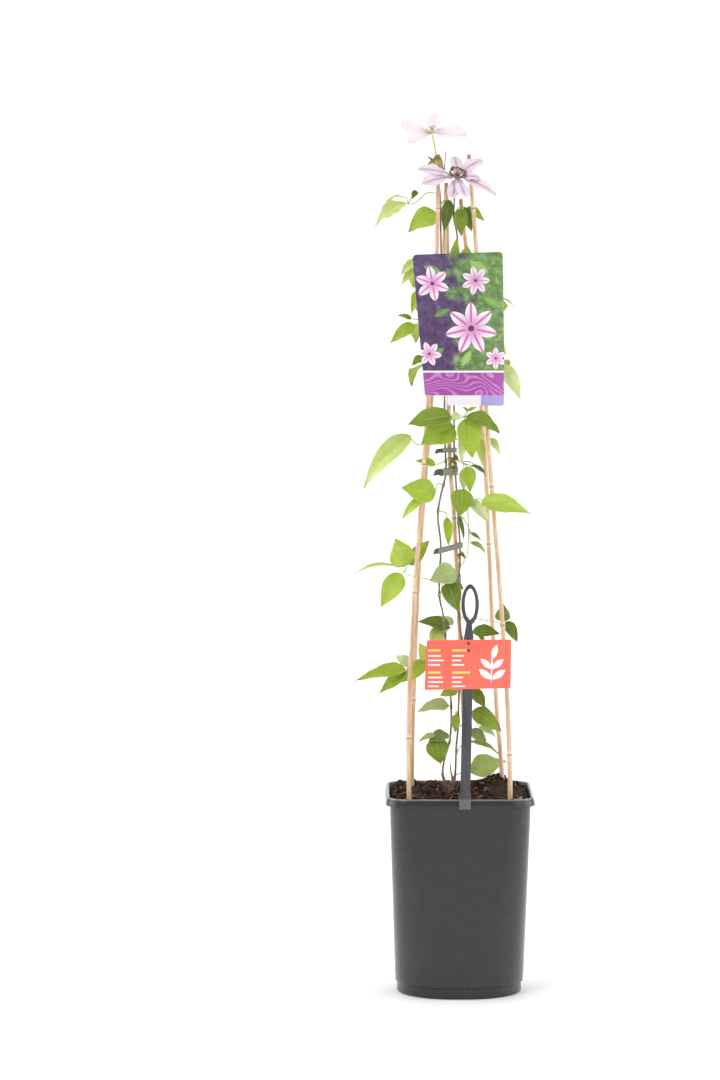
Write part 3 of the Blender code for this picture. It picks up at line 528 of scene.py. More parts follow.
# %% Black pot plastic
pot_plastic = Look("black pot plastic", IOR=1.48)
where = pot_plastic.place()
x, y, z = pot_plastic.parts(where)
scuffs = pot_plastic.noise(pot_plastic.place(scale=(14, 14, 50)), 3.0, 6.0, 0.65)
dust = pot_plastic.noise(where, 9.0, 4.0, 0.6).step(0.50, 0.78)
splash = z.step(0.20, 0.29) * 0.35 + (1 - z.step(0.0, 0.05)) * 0.55
dirt = (dust * splash).least(1.0)
plastic_colour = pot_plastic.ramp(scuffs, [(0.30, (0.0210, 0.0168, 0.0175)),
                                           (0.62, (0.0255, 0.0210, 0.0215)),
                                           (0.80, (0.0300, 0.0255, 0.0260))])
plastic_colour = pot_plastic.mix(dirt * 0.28, plastic_colour, (0.13, 0.11, 0.095))
# Painted highlight: a paler line round the top of the lip, broken up by the scuffs.
painted_lip_highlight = z.step(0.2710, 0.2722) * (0.5 + scuffs * 0.8)
plastic_colour = pot_plastic.mix(painted_lip_highlight.least(1.0), plastic_colour, (0.20, 0.175, 0.19))
sand = pot_plastic.noise(where, 900.0, 2.0)
flow = pot_plastic.noise(pot_plastic.place(scale=(1, 1, 0.25)), 26.0, 3.0)
pot_relief = pot_plastic.bump(flow * 0.0003 + sand * 0.00005, 1.0)
pot_black = pot_plastic.wear(Base_Color=plastic_colour, Normal=pot_relief,
                             Roughness=0.22 + scuffs * 0.06 + dirt * 0.15)

# %% Loft the pot and drill its drain holes
lip = POT_HEIGHT
under_rim = lip - RIM_DEPTH
rings = [(0.0, square_outline(FOOT_HALF - 0.0016, FOOT_CORNER - 0.0016)),
         (0.0004, square_outline(FOOT_HALF - 0.0005, FOOT_CORNER - 0.0005)),
         (0.0014, square_outline(FOOT_HALF, FOOT_CORNER)),
         (FOOT_HEIGHT - 0.0009, square_outline(FOOT_HALF, FOOT_CORNER)),
         (FOOT_HEIGHT - 0.0003, square_outline(FOOT_HALF + 0.0002, FOOT_CORNER)),
         (FOOT_HEIGHT + 0.0001, square_outline(wall_half(0) - 0.0012, 0.0772)),
         (FOOT_HEIGHT + 0.0010, square_outline(wall_half(0), CORNER_AT_FOOT - 0.002))]
for step in range(1, 24):
    z_ring = FOOT_HEIGHT + 0.001 + (under_rim - 0.003 - FOOT_HEIGHT - 0.001) * step / 23
    rings.append((z_ring, square_outline(wall_half(z_ring), wall_corner(z_ring))))
rings += [(under_rim - 0.0004, square_outline(wall_half(under_rim) + 0.0004, 0.0265)),
          (under_rim, square_outline(RIM_HALF - 0.0012, 0.0298)),
          (under_rim + 0.0004, square_outline(RIM_HALF - 0.0003, 0.0306)),
          (under_rim + 0.0014, square_outline(RIM_HALF, 0.031)),
          (lip - 0.0018, square_outline(RIM_TOP_HALF + 0.0009, 0.0294)),
          (lip - 0.0006, square_outline(RIM_TOP_HALF + 0.0004, 0.0289)),
          (lip, square_outline(RIM_TOP_HALF - 0.0004, 0.0281)),
          (lip, square_outline(RIM_TOP_HALF - 0.0018, 0.0268)),
          (lip - 0.0006, square_outline(RIM_TOP_HALF - 0.0026, 0.0261))]
rings += inner_rings(WALL)
pot = finish_mesh("nursery_pot", loft(rings), pot_black, 50)
drills = []
for quarter in range(4):
    angle = math.radians(45 + 90 * quarter)
    middle = Vector((DRAIN_CIRCLE * math.cos(angle), DRAIN_CIRCLE * math.sin(angle), 0))
    line = [middle - Vector((0, 0, 0.01)), middle + Vector((0, 0, 0.01))]
    hole = stem(line, [DRAIN_RADIUS, DRAIN_RADIUS], 20, round_ends=False)
    drills.append(finish_mesh("drill", hole, pot_black))
cut(pot, drills, 50)
stand_for(pot, "pot", "pot")

# %% [markdown]
# ## The compost
# Peat-based compost fills the pot almost to its rim. It is not smooth: it is
# crumbs, bark and red-brown fibres. The body is lofted inside the pot with a
# top that follows several sizes of noise, and two pieces lie on it: loose
# crumbs, which are balls of twenty faces pushed out of shape, and fibres, which
# are short bent stems. A fixed seed places them, so they fall alike each time.

# %% Compost surface
SOIL_LEVEL = 0.2665
SOIL_EDGE = 0.2655
SOIL_HALF = 0.0905
GAP = 0.0003


def soil_height(x, y):
    """The lumpy top: broad lumps, a mound at the crown, a heap at the back right, crumbs."""
    spot = Vector((x, y, 0.0))
    lumps = noise.noise(spot * 55) * 0.0050 + noise.noise(spot * 130) * 0.0034
    mound = 0.006 * math.exp(-((x + 0.012) ** 2 + (y + 0.022) ** 2) / 0.0006)
    heap = 0.015 * math.exp(-((x - 0.050) ** 2 + (y - 0.046) ** 2) / 0.0005)
    crumbs = noise.noise(spot * 260) * 0.0023 + noise.noise(spot * 560) * 0.0011
    inward = max(0.0, min(1.0, (SOIL_HALF - max(abs(x), abs(y))) / 0.010))
    back = 0.0062 * inward * max(0.0, min(1.0, (y + 0.01) / 0.08))
    return SOIL_LEVEL + (lumps + crumbs) * (0.45 + 0.55 * inward) + mound + heap + back


def lying_limit(y):
    """The highest that loose pieces lie: under the rim in front, heaped behind."""
    return 0.2725 if y < -0.080 else 0.2960


compost = Look("compost", Roughness=0.95, Specular_IOR_Level=0.15)
where = compost.place()
clods = compost.noise(where, 170.0, 5.0, 0.7)
grit = compost.cells(where, 420.0)
tint = compost.noise(where, 38.0, 3.0)
earth = compost.ramp(clods, [(0.30, (0.006, 0.004, 0.002)), (0.50, (0.024, 0.013, 0.007)),
                             (0.66, (0.066, 0.036, 0.019)), (0.82, (0.16, 0.095, 0.052))])
earth = compost.mix(tint.step(0.48, 0.70) * 0.4, earth, (0.050, 0.021, 0.011))
crumble = compost.bump(clods * 0.0022 + grit * 0.0010, 1.0)
dark_compost = compost.wear(Base_Color=earth, Normal=crumble)

edge = square_outline(wall_half(0.262) - WALL - GAP, 0.026)
rings = list(reversed(inner_rings(WALL + GAP)))[:-1]
rings += [(0.262, edge), (SOIL_EDGE - 0.001, edge)]
for share in [0.995] + [0.97 - 0.026 * i for i in range(37)]:
    rings.append((soil_height, [(px * share, py * share) for px, py in edge]))
soil = finish_mesh("compost_fill", loft(rings), dark_compost, 60)
stand_for(soil, "soil", "soil")

# %% Loose crumbs
CRUMBS = 2300
CLOD_EVERY = 9

dice = random.Random(11)
crumbs = new_mesh()
inner = wall_half(0.262) - WALL - 0.004
for i in range(CRUMBS):
    cx, cy = dice.uniform(-inner, inner), dice.uniform(-inner, inner)
    if abs(cx) + abs(cy) > inner * 1.72:
        continue
    clod = i % CLOD_EVERY == 0
    size = dice.uniform(0.0008, 0.0026) * (1.7 if clod else dice.uniform(0.6, 1.5))
    turn = Matrix.Rotation(dice.uniform(0, 6.28), 4, Vector((dice.random(), dice.random(), 1)))
    flat = Matrix.Diagonal((1.0, dice.uniform(0.6, 1.0), dice.uniform(0.45, 0.9), 1.0))
    place = Matrix.Translation((cx, cy, min(soil_height(cx, cy) + size * 0.3, lying_limit(cy))))
    ball = bmesh.ops.create_icosphere(crumbs, subdivisions=1 + clod, radius=size,
                                      matrix=place @ turn @ flat)["verts"]
    for vert in ball:
        vert.co += noise.noise_vector(vert.co * 900) * size * 0.45
    mark_verts(crumbs, ball, tone=dice.random())
bmesh.ops.recalc_face_normals(crumbs, faces=crumbs.faces)

crumb_look = Look("compost crumbs", Roughness=0.92, Specular_IOR_Level=0.2)
lot = crumb_look.attribute("tone")
speck = crumb_look.noise(crumb_look.place(), 700.0, 3.0)
crumb_colour = crumb_look.ramp(lot, [(0.0, (0.008, 0.005, 0.003)), (0.48, (0.034, 0.018, 0.009)),
                                     (0.78, (0.095, 0.048, 0.023)), (0.94, (0.19, 0.105, 0.054)),
                                     (1.0, (0.36, 0.25, 0.14))])
crumb_colour = crumb_look.mix(speck.step(0.4, 0.7) * 0.5, crumb_colour, (0.02, 0.012, 0.008))
crumb_brown = crumb_look.wear(Base_Color=crumb_colour, Normal=crumb_look.bump(speck, 0.0008))
stand_for(finish_mesh("compost_crumbs", crumbs, crumb_brown, 30), "soil")

# %% Fibres and pale roots
fibres = new_mesh()
for i in range(520):
    cx, cy = dice.uniform(-inner, inner) * 0.94, dice.uniform(-inner, inner) * 0.94
    if abs(cx) + abs(cy) > inner * 1.6:
        continue
    heading = dice.uniform(0, 2 * math.pi)
    length = dice.uniform(0.005, 0.022)
    bend = dice.uniform(-1.2, 1.2)
    points = []
    for part in range(5):
        share = part / 4 - 0.5
        turned = heading + bend * share
        fx = max(-inner, min(inner, cx + math.cos(turned) * length * share))
        fy = max(-inner, min(inner, cy + math.sin(turned) * length * share))
        rise = 0.0010 + dice.uniform(0, 0.0016) * (1 - abs(share))
        points.append(Vector((fx, fy, min(soil_height(fx, fy) + rise, lying_limit(fy)))))
    thick = dice.uniform(0.00020, 0.00060)
    add_to(fibres, stem(points, taper(5, thick, thick * 0.5), 4, dice.random() ** 1.6,
                        round_ends=False))
for i in range(16):
    cx, cy = dice.uniform(0.070, 0.088), dice.uniform(-0.088, -0.040)
    heading = dice.uniform(0, math.pi)
    points = []
    for part in range(7):
        share = part / 6 - 0.5
        turned = heading + 2.6 * share
        fx = min(inner, cx + math.cos(turned) * 0.014 * share)
        fy = max(-inner, cy + math.sin(turned) * 0.014 * share)
        points.append(Vector((fx, fy, min(soil_height(fx, fy) + 0.0018, lying_limit(fy)))))
    add_to(fibres, stem(points, taper(7, 0.0006, 0.0003), 5, 1.0, round_ends=False))

fibre_look = Look("peat fibres", Roughness=0.85)
lot = fibre_look.attribute("tone")
streak = fibre_look.noise(fibre_look.place(), 500.0, 2.0)
fibre_colour = fibre_look.ramp(lot, [(0.0, (0.032, 0.014, 0.008)), (0.55, (0.12, 0.048, 0.022)),
                                     (0.82, (0.23, 0.12, 0.058)), (1.0, (0.62, 0.52, 0.38))])
fibre_colour = fibre_look.mix(streak * 0.35, fibre_colour, (0.04, 0.020, 0.012))
fibre_red = fibre_look.wear(Base_Color=fibre_colour, Normal=fibre_look.bump(streak, 0.0004))
stand_for(finish_mesh("compost_fibres", fibres, fibre_red), "soil")

# %% [markdown]
# ## The bamboo canes
# Five thin bamboo canes lean together like the poles of a tent. A cane is not a
# plain rod: every fifteen to twenty centimetres it has a node, a raised ring
# with a groove above it, and its skin is peach-tan with fine streaks along the
# grain. The rings close to a node swell and shrink, and a number stored on the
# vertices tells the material how near the node is.

# %% Cane lines, from foot to tip, and their node heights
CANES = {
    "cane_front_left": (
        [(-52, -54, 30), (-65, -66, 150), (-69, -70, 276), (-69, -65, 404), (-62, -58, 538),
         (-48, -46, 739), (-40, -38, 873), (-32, -28, 1007), (-30, -20, 1134)],
        [0.352, 0.548, 0.720, 0.905, 1.062]),
    "cane_back_left": (
        [(-50, 36, 30), (-61, 41, 150), (-64, 40, 270), (-62, 38, 392), (-55, 34, 571),
         (-43, 29, 735), (-33, 25, 871), (-22, 20, 1006), (-19, 18, 1087)],
        [0.392, 0.590, 0.780, 0.960]),
    "cane_centre": (
        [(16, -50, 30), (14, -49, 150), (11, -45, 273), (4, -35, 400), (-1, -25, 508),
         (-7, -18, 629), (-14, -12, 735), (-16, -6, 872), (-17, -2, 1007), (-19, 0, 1096)],
        [0.420, 0.645, 0.726, 0.930]),
    "cane_back_right": (
        [(48, 38, 30), (57, 44, 150), (60, 45, 274), (51, 40, 392), (42, 34, 571),
         (34, 29, 735), (22, 25, 871), (8, 20, 1010), (1, 18, 1074)],
        [0.350, 0.606, 0.820, 0.985]),
    "cane_front_right": (
        [(50, -54, 30), (63, -66, 150), (67, -70, 273), (63, -65, 404), (54, -58, 538),
         (38, -46, 739), (30, -38, 873), (21, -28, 1007), (11, -20, 1134)],
        [0.330, 0.504, 0.690, 0.890, 1.062]),
}
CANE_RADIUS = (0.0035, 0.0027)
canes = {name: [mm(*p) for p in points] for name, (points, _) in CANES.items()}

# %% Bamboo skin
bamboo = Look("bamboo", IOR=1.45)
near_node = bamboo.attribute("across")
lot = bamboo.attribute("tone")
fine_streaks = bamboo.noise(bamboo.place(scale=(1, 1, 0.02)), 1500.0, 3.0, 0.6)
broad_streaks = bamboo.noise(bamboo.place(scale=(1, 1, 0.05)), 260.0, 3.0)
blotches = bamboo.noise(bamboo.place(scale=(1, 1, 0.35)), 60.0, 4.0, 0.6)
skin = bamboo.ramp(broad_streaks * 0.6 + fine_streaks * 0.4,
                   [(0.30, (0.36, 0.205, 0.10)), (0.45, (0.56, 0.365, 0.22)),
                    (0.60, (0.71, 0.52, 0.36)), (0.78, (0.83, 0.69, 0.54))])
skin = bamboo.mix(blotches.step(0.56, 0.72) * 0.50, skin, (0.42, 0.24, 0.11))
skin = bamboo.mix(lot * 0.25, skin, (0.62, 0.43, 0.25))
ring_line = near_node.step(0.86, 0.97)
halo = near_node.step(0.30, 0.85)
skin = bamboo.mix(halo * 0.30, skin, (0.88, 0.76, 0.56))
skin = bamboo.mix(ring_line * 0.62, skin, (0.20, 0.105, 0.05))
cut_end = bamboo.attribute("along").step(0.986, 0.996)
skin = bamboo.mix(cut_end * 0.7, skin, (0.30, 0.165, 0.08))
bamboo_tan = bamboo.wear(Base_Color=skin, Roughness=0.42 + blotches * 0.25,
                         Normal=bamboo.bump(fine_streaks * 0.00025 + blotches * 0.0003, 1.0))

# %% Grow the canes
CANE_STEP = 0.012
NODE_REACH = 0.012


def swelling(distance):
    """How much a cane's radius grows near a node: a ring with a groove above it."""
    ring = 0.00062 * math.exp(-(distance / 0.0022) ** 2)
    groove = 0.00030 * math.exp(-((distance - 0.0036) / 0.0013) ** 2)
    return ring - groove


for order, (name, (_, node_heights)) in enumerate(CANES.items()):
    line = canes[name]
    low, high = line[0].z, line[-1].z
    heights = {low + (high - low) * i / 90 for i in range(91)}
    for height in node_heights:
        heights.update(height + offset * 0.001 for offset in (-8, -4, -2, -1, 0, 1, 2, 3, 4, 5, 8))
    heights = sorted(h for h in heights if low <= h <= high)
    heights = [a for a, b in zip(heights, heights[1:] + [9.0]) if b - a > 0.0004]
    radii, closeness = [], []
    for height in heights:
        share = (height - low) / (high - low)
        away = min((height - n for n in node_heights), key=abs)
        radii.append(CANE_RADIUS[0] + (CANE_RADIUS[1] - CANE_RADIUS[0]) * share + swelling(away))
        closeness.append(max(0.0, 1 - abs(away) / NODE_REACH))
    smooth = through(line, 12)
    bm = stem([at_height(smooth, h) for h in heights], radii, 14, order / 4)
    cane_mark = dict(zip(heights, closeness))
    marks = bm.verts.layers.float
    for vert in bm.verts:
        share = vert[marks["along"]] * (len(heights) - 1)
        vert[marks["across"]] = closeness[min(round(share), len(heights) - 1)]
    cane = finish_mesh("bamboo_" + name[5:], bm, bamboo_tan, 60)
    stand_for(cane, "cane", name)

# %% [markdown]
# ## The vines and the crown
# Two woody stems, hardly thicker than a match, climb beside the centre cane
# from a gnarled crown, among the dead stubs of older shoots. Each is swept
# through the same points as the solid, smoothed, and swells a little where a
# leaf stalk leaves it. The bark is grey-brown and peels in long threads.

# %% Vine lines, from crown to flower
VINES = {
    "right": [(-13, -24, 277), (-8, -31, 293), (-6, -34, 303), (-5, -37, 335),
              (-3, -41, 360), (-2, -43, 396), (0, -38, 440), (3, -34, 478),
              (0, -32, 498), (-3, -28, 553), (-1, -27, 570),
              (0, -25, 607), (-3, -21, 650), (-6, -19, 700), (-8, -17, 722), (-8, -16, 745),
              (-8, -14, 800), (-7, -12, 870), (-5, -10, 950), (-4, -9, 1020), (-9, -9, 1050),
              (-8, -13, 1076)],
    "left": [(-15, -22, 277), (-21, -25, 292), (-23, -26, 303), (-20, -29, 322),
             (-13, -31, 349), (-12, -31, 396), (-19, -30, 478),
             (-23, -28, 516), (-28, -25, 545), (-26, -22, 607), (-30, -20, 648),
             (-26, -19, 676), (-20, -18, 700), (-19, -16, 715), (-20, -14, 742), (-21, -10, 800),
             (-22, -6, 870), (-24, -2, 950), (-26, 1, 1020), (-27, 2, 1074), (-30, -8, 1105),
             (-31, -13, 1122)],
}
STUBS = [[(-14, -22, 277), (-21, -17, 287), (-25, -15, 298)],
         [(-13, -24, 278), (-10, -27, 292), (-12, -29, 302), (-13, -31, 314)],
         [(-13, -22, 278), (-7, -19, 286), (-5, -18, 296)],
         [(-15, -24, 277), (-20, -31, 284), (-21, -34, 294)],
         [(-13, -24, 279), (-12, -28, 286), (-9, -31, 289), (-7, -32, 297)],
         [(-16, -23, 278), (-18, -26, 283), (-18, -29, 289)]]
CROWN = [(-14, -23, 228), (-14, -23, 262), (-14, -23, 271), (-13, -23, 277), (-14, -23, 282)]
CROWN_RADII = [0.0043, 0.0046, 0.0052, 0.0042, 0.0030]
VINE_RADIUS = 0.0013
JOINTS = {"right": (378, 424, 484, 512, 582, 640, 660, 724, 752, 772, 848, 884, 935, 990, 1056),
          "left": (344, 392, 440, 488, 542, 560, 584, 655, 690, 722, 756, 898, 925, 965, 1066)}
JOINT_REACH = 0.0028
vines = {name: [mm(*p) for p in points] for name, points in VINES.items()}

# %% Bark
bark = Look("vine bark", Roughness=0.82)
strands = bark.noise(bark.place(scale=(1, 1, 0.10)), 900.0, 4.0, 0.65)
patches = bark.noise(bark.place(scale=(1, 1, 0.4)), 110.0, 3.0)
rise = bark.parts(bark.place())[2]
wood = bark.ramp(strands, [(0.28, (0.070, 0.040, 0.028)), (0.48, (0.20, 0.13, 0.095)),
                           (0.64, (0.36, 0.27, 0.21)), (0.82, (0.56, 0.47, 0.39))])
wood = bark.mix(patches.step(0.50, 0.68) * 0.5, wood, (0.33, 0.27, 0.23))
wood = bark.mix((1 - rise.step(0.275, 0.33)) * 0.45, wood, (0.19, 0.085, 0.050))
wood = bark.mix(bark.attribute("across") * 0.75, wood, (0.055, 0.030, 0.020))
vine_bark = bark.wear(Base_Color=wood, Normal=bark.bump(strands * 0.0007 + patches * 0.0005, 1.0))

# %% Grow the crown, the vines and the stubs
plant = new_mesh()
add_to(plant, stem([mm(*p) for p in CROWN], CROWN_RADII, 14, 0.3))
for vine_name, line in vines.items():
    smooth = through(line, 12)
    count = len(smooth)
    radii = []
    for i, point in enumerate(smooth):
        knot = 0.18 * max(0.0, noise.noise(point * 60)) + 0.10 * noise.noise(point * 190)
        away = min(abs(point.z - joint * 0.001) for joint in JOINTS[vine_name])
        knot += 0.55 * math.exp(-(away / JOINT_REACH) ** 2)
        radii.append(VINE_RADIUS * (1.12 - 0.20 * i / count) * (1 + knot))
    grown_vine = stem(smooth, radii, 9, 0.5)
    joint_dark = grown_vine.verts.layers.float["across"]
    for vert in grown_vine.verts:
        away = min(abs(vert.co.z - joint * 0.001) for joint in JOINTS[vine_name])
        vert[joint_dark] = math.exp(-(away / JOINT_REACH) ** 2)
    add_to(plant, grown_vine)
for points in STUBS:
    smooth = through([mm(*p) for p in points], 4)
    add_to(plant, stem(smooth, taper(len(smooth), 0.0019, 0.0006), 7, 0.7))
twist_dice = random.Random(5)
for i in range(14):
    heading = twist_dice.uniform(0, 2 * math.pi)
    reach = twist_dice.uniform(0.006, 0.013)
    way = Vector((math.cos(heading), math.sin(heading), 0)) * reach
    foot = mm(-14, -23, 273) + way * 0.15
    bent = foot + way * 0.6 + Vector((0, 0, twist_dice.uniform(0.003, 0.007)))
    tip = foot + way + Vector((0, 0, twist_dice.uniform(0.002, 0.016)))
    thick = twist_dice.uniform(0.0006, 0.0013)
    add_to(plant, stem(through([foot, bent, tip], 4), taper(9, thick, thick * 0.4), 6, 0.7))
stand_for(finish_mesh("climbing_vines", plant, vine_bark), "vine", "vines")

# %% [markdown]
# ## Leaflets
# A clematis leaflet is an oval that ends in a long point. Three to five veins
# start together at the stalk and run to the tip, side by side with the edge, so
# on a grid laid from base to tip they are simply the lines that keep their
# share of the width. The same grid makes the flowers' tepals. Each blade bends
# down its middle, lifts at the sides, ripples along the edge, and gets a real
# thickness. Three numbers ride on its vertices for the material: how far along
# a point is, how far across, and the leaflet's shade of green, which is partly
# its own colour and partly painted shade where the leaflet lies in shadow.

# %% A blade with its bends
BLADE_THICKNESS = 0.0005
BLADE_LEAST_HALF = 0.0004


def leaf_outline(t):
    """Half width share of a leaflet: rounded near the stalk, long pointed tip."""
    return 2.85 * t ** 0.55 * (1 - t) ** 1.08


def tepal_outline(t):
    """Half width share of a tepal: narrow at the middle, widest past half way."""
    return 2.6 * t * (1 - t) ** 0.5


def facing(tilt):
    """Direction tilted from straight up towards the viewer, in degrees."""
    return Vector((0.0, -math.sin(math.radians(tilt)), math.cos(math.radians(tilt))))


def blade(base, tip, width, face, arch=0.10, fold=0.25, wave=0.04, tone=0.5, grey=0.0,
          outline=leaf_outline, stations=18, strips=10, curl=0.18, twist=0.0):
    """A thin leaflet or tepal bmesh from its base to its tip."""
    along = tip - base
    side = along.cross(face).normalized()
    normal = side.cross(along).normalized()
    seed = base.x * 900 + base.z * 400
    bm = new_mesh()
    bmesh.ops.create_grid(bm, x_segments=stations, y_segments=strips, size=1.0)
    marks = bm.verts.layers.float
    for vert in bm.verts:
        t = (1 - math.cos(math.pi * (vert.co.x + 1) / 2)) / 2
        s = vert.co.y
        half = max(width * 0.5 * outline(t), BLADE_LEAST_HALF)
        half *= 1 + 0.05 * noise.noise(Vector((seed, t * 5, s * 0.6)))
        lift = arch * along.length * math.sin(math.pi * t) + fold * half * abs(s) ** 1.3
        lift += wave * width * (math.sin(9 * t + 2 * s + seed) * s * s
                                + 0.5 * math.sin(23 * t + seed) * abs(s) ** 3)
        lift -= 0.012 * width * math.exp(-(s / 0.10) ** 2)
        lift -= 0.003 * width * math.exp(-((abs(s) - 0.46) / 0.08) ** 2)
        lift += twist * half * s * t
        lift -= curl * along.length * max(0.0, t - 0.6) ** 2
        sway = 0.03 * along.length * math.sin(math.pi * t) * math.sin(seed * 1.7)
        vert[marks["along"]] = t
        vert[marks["across"]] = s
        vert[marks["tone"]] = tone
        vert[marks["grey"]] = grey
        vert.co = base + along * t + side * (half * s + sway) + normal * lift
    bmesh.ops.recalc_face_normals(bm, faces=bm.faces)
    bmesh.ops.solidify(bm, geom=bm.faces[:], thickness=BLADE_THICKNESS)
    return bm


# %% Leaf green
leaf = Look("leaf green", Roughness=0.42, Specular_IOR_Level=0.35)
length_share = leaf.attribute("along")
width_share = leaf.attribute("across")
lot = leaf.attribute("tone")
where = leaf.place()
aside = abs(width_share)


def vein_line(at, thin):
    """A vein that keeps its share of the width, thinner towards the tip."""
    return 1 - abs(aside - at).step(thin * 0.3, thin)


side_veins = ((aside * 2.2 + length_share * 9.0).fraction() - 0.5)
net = leaf.cells(where, 520.0, "DISTANCE_TO_EDGE")
ribs = (vein_line(0.0, 0.10) + vein_line(0.46, 0.06) * 0.6 + vein_line(0.80, 0.05) * 0.3).least(1.0)
cross_ribs = (1 - abs(side_veins).step(0.02, 0.10)) * 0.30
meshwork = (1 - net.step(0.0, 0.10)) * 0.25
veins = (ribs + cross_ribs + meshwork).least(1.0) * (1 - aside.step(0.90, 1.0))
mottle = leaf.noise(where, 90.0, 3.0)
shade = lot * 0.86 + mottle * 0.26 - 0.06 + length_share * 0.05
# The dark end of this ramp is painted shade: leaflets that lie in shadow between the canes get low tones.
# The pale end is painted light for leaflets in full light. The middle is the leaflets' own green.
green = leaf.ramp(shade, [(0.08, (0.040, 0.075, 0.008)), (0.26, (0.115, 0.180, 0.010)),
                          (0.44, (0.225, 0.320, 0.018)), (0.60, (0.325, 0.450, 0.030)),
                          (0.74, (0.420, 0.560, 0.065)), (0.88, (0.540, 0.650, 0.190)),
                          (1.0, (0.680, 0.750, 0.420))])
# Painted shade: the half of each leaflet on one side of the midrib is darkened a little, as the fold turns
# it from the light.
green = leaf.mix(width_share.step(-0.25, 0.25) * 0.16, green, (0.13, 0.21, 0.012))
dull = leaf.ramp(shade, [(0.10, (0.13, 0.17, 0.070)), (0.50, (0.33, 0.40, 0.170)),
                         (0.90, (0.58, 0.64, 0.400))])
green = leaf.mix(leaf.attribute("grey") * 0.85, green, dull)
green = leaf.mix(ribs * 0.15, green, (0.60, 0.70, 0.28))
green = leaf.mix((cross_ribs + meshwork) * 0.32, green, (0.17, 0.27, 0.02))
green = leaf.mix(aside.step(0.90, 1.0) * 0.30, green, (0.52, 0.60, 0.17))
bronze = leaf.noise(where, 34.0, 3.0).step(0.62, 0.80) * aside.step(0.6, 1.0)
green = leaf.mix(bronze * 0.40, green, (0.30, 0.21, 0.05))
leaf_relief = leaf.bump(mottle * 0.0012 - veins * 0.00028, 1.0)
leaf_green = leaf.wear(Base_Color=green, Normal=leaf_relief, Roughness=0.36 + mottle * 0.22)

# %% Leaf sprays: the vine and height they grow from, the stalk's course, the leaflets
def leaflet(base, tip, width, tilt, at=-1, **bends):
    """Both ends and the width in millimetres, the tilt of its face, and its bends.

    at counts along the stalk's course to the point that it grows from.
    """
    return mm(*base), mm(*tip), width * 0.001, facing(tilt), at, bends
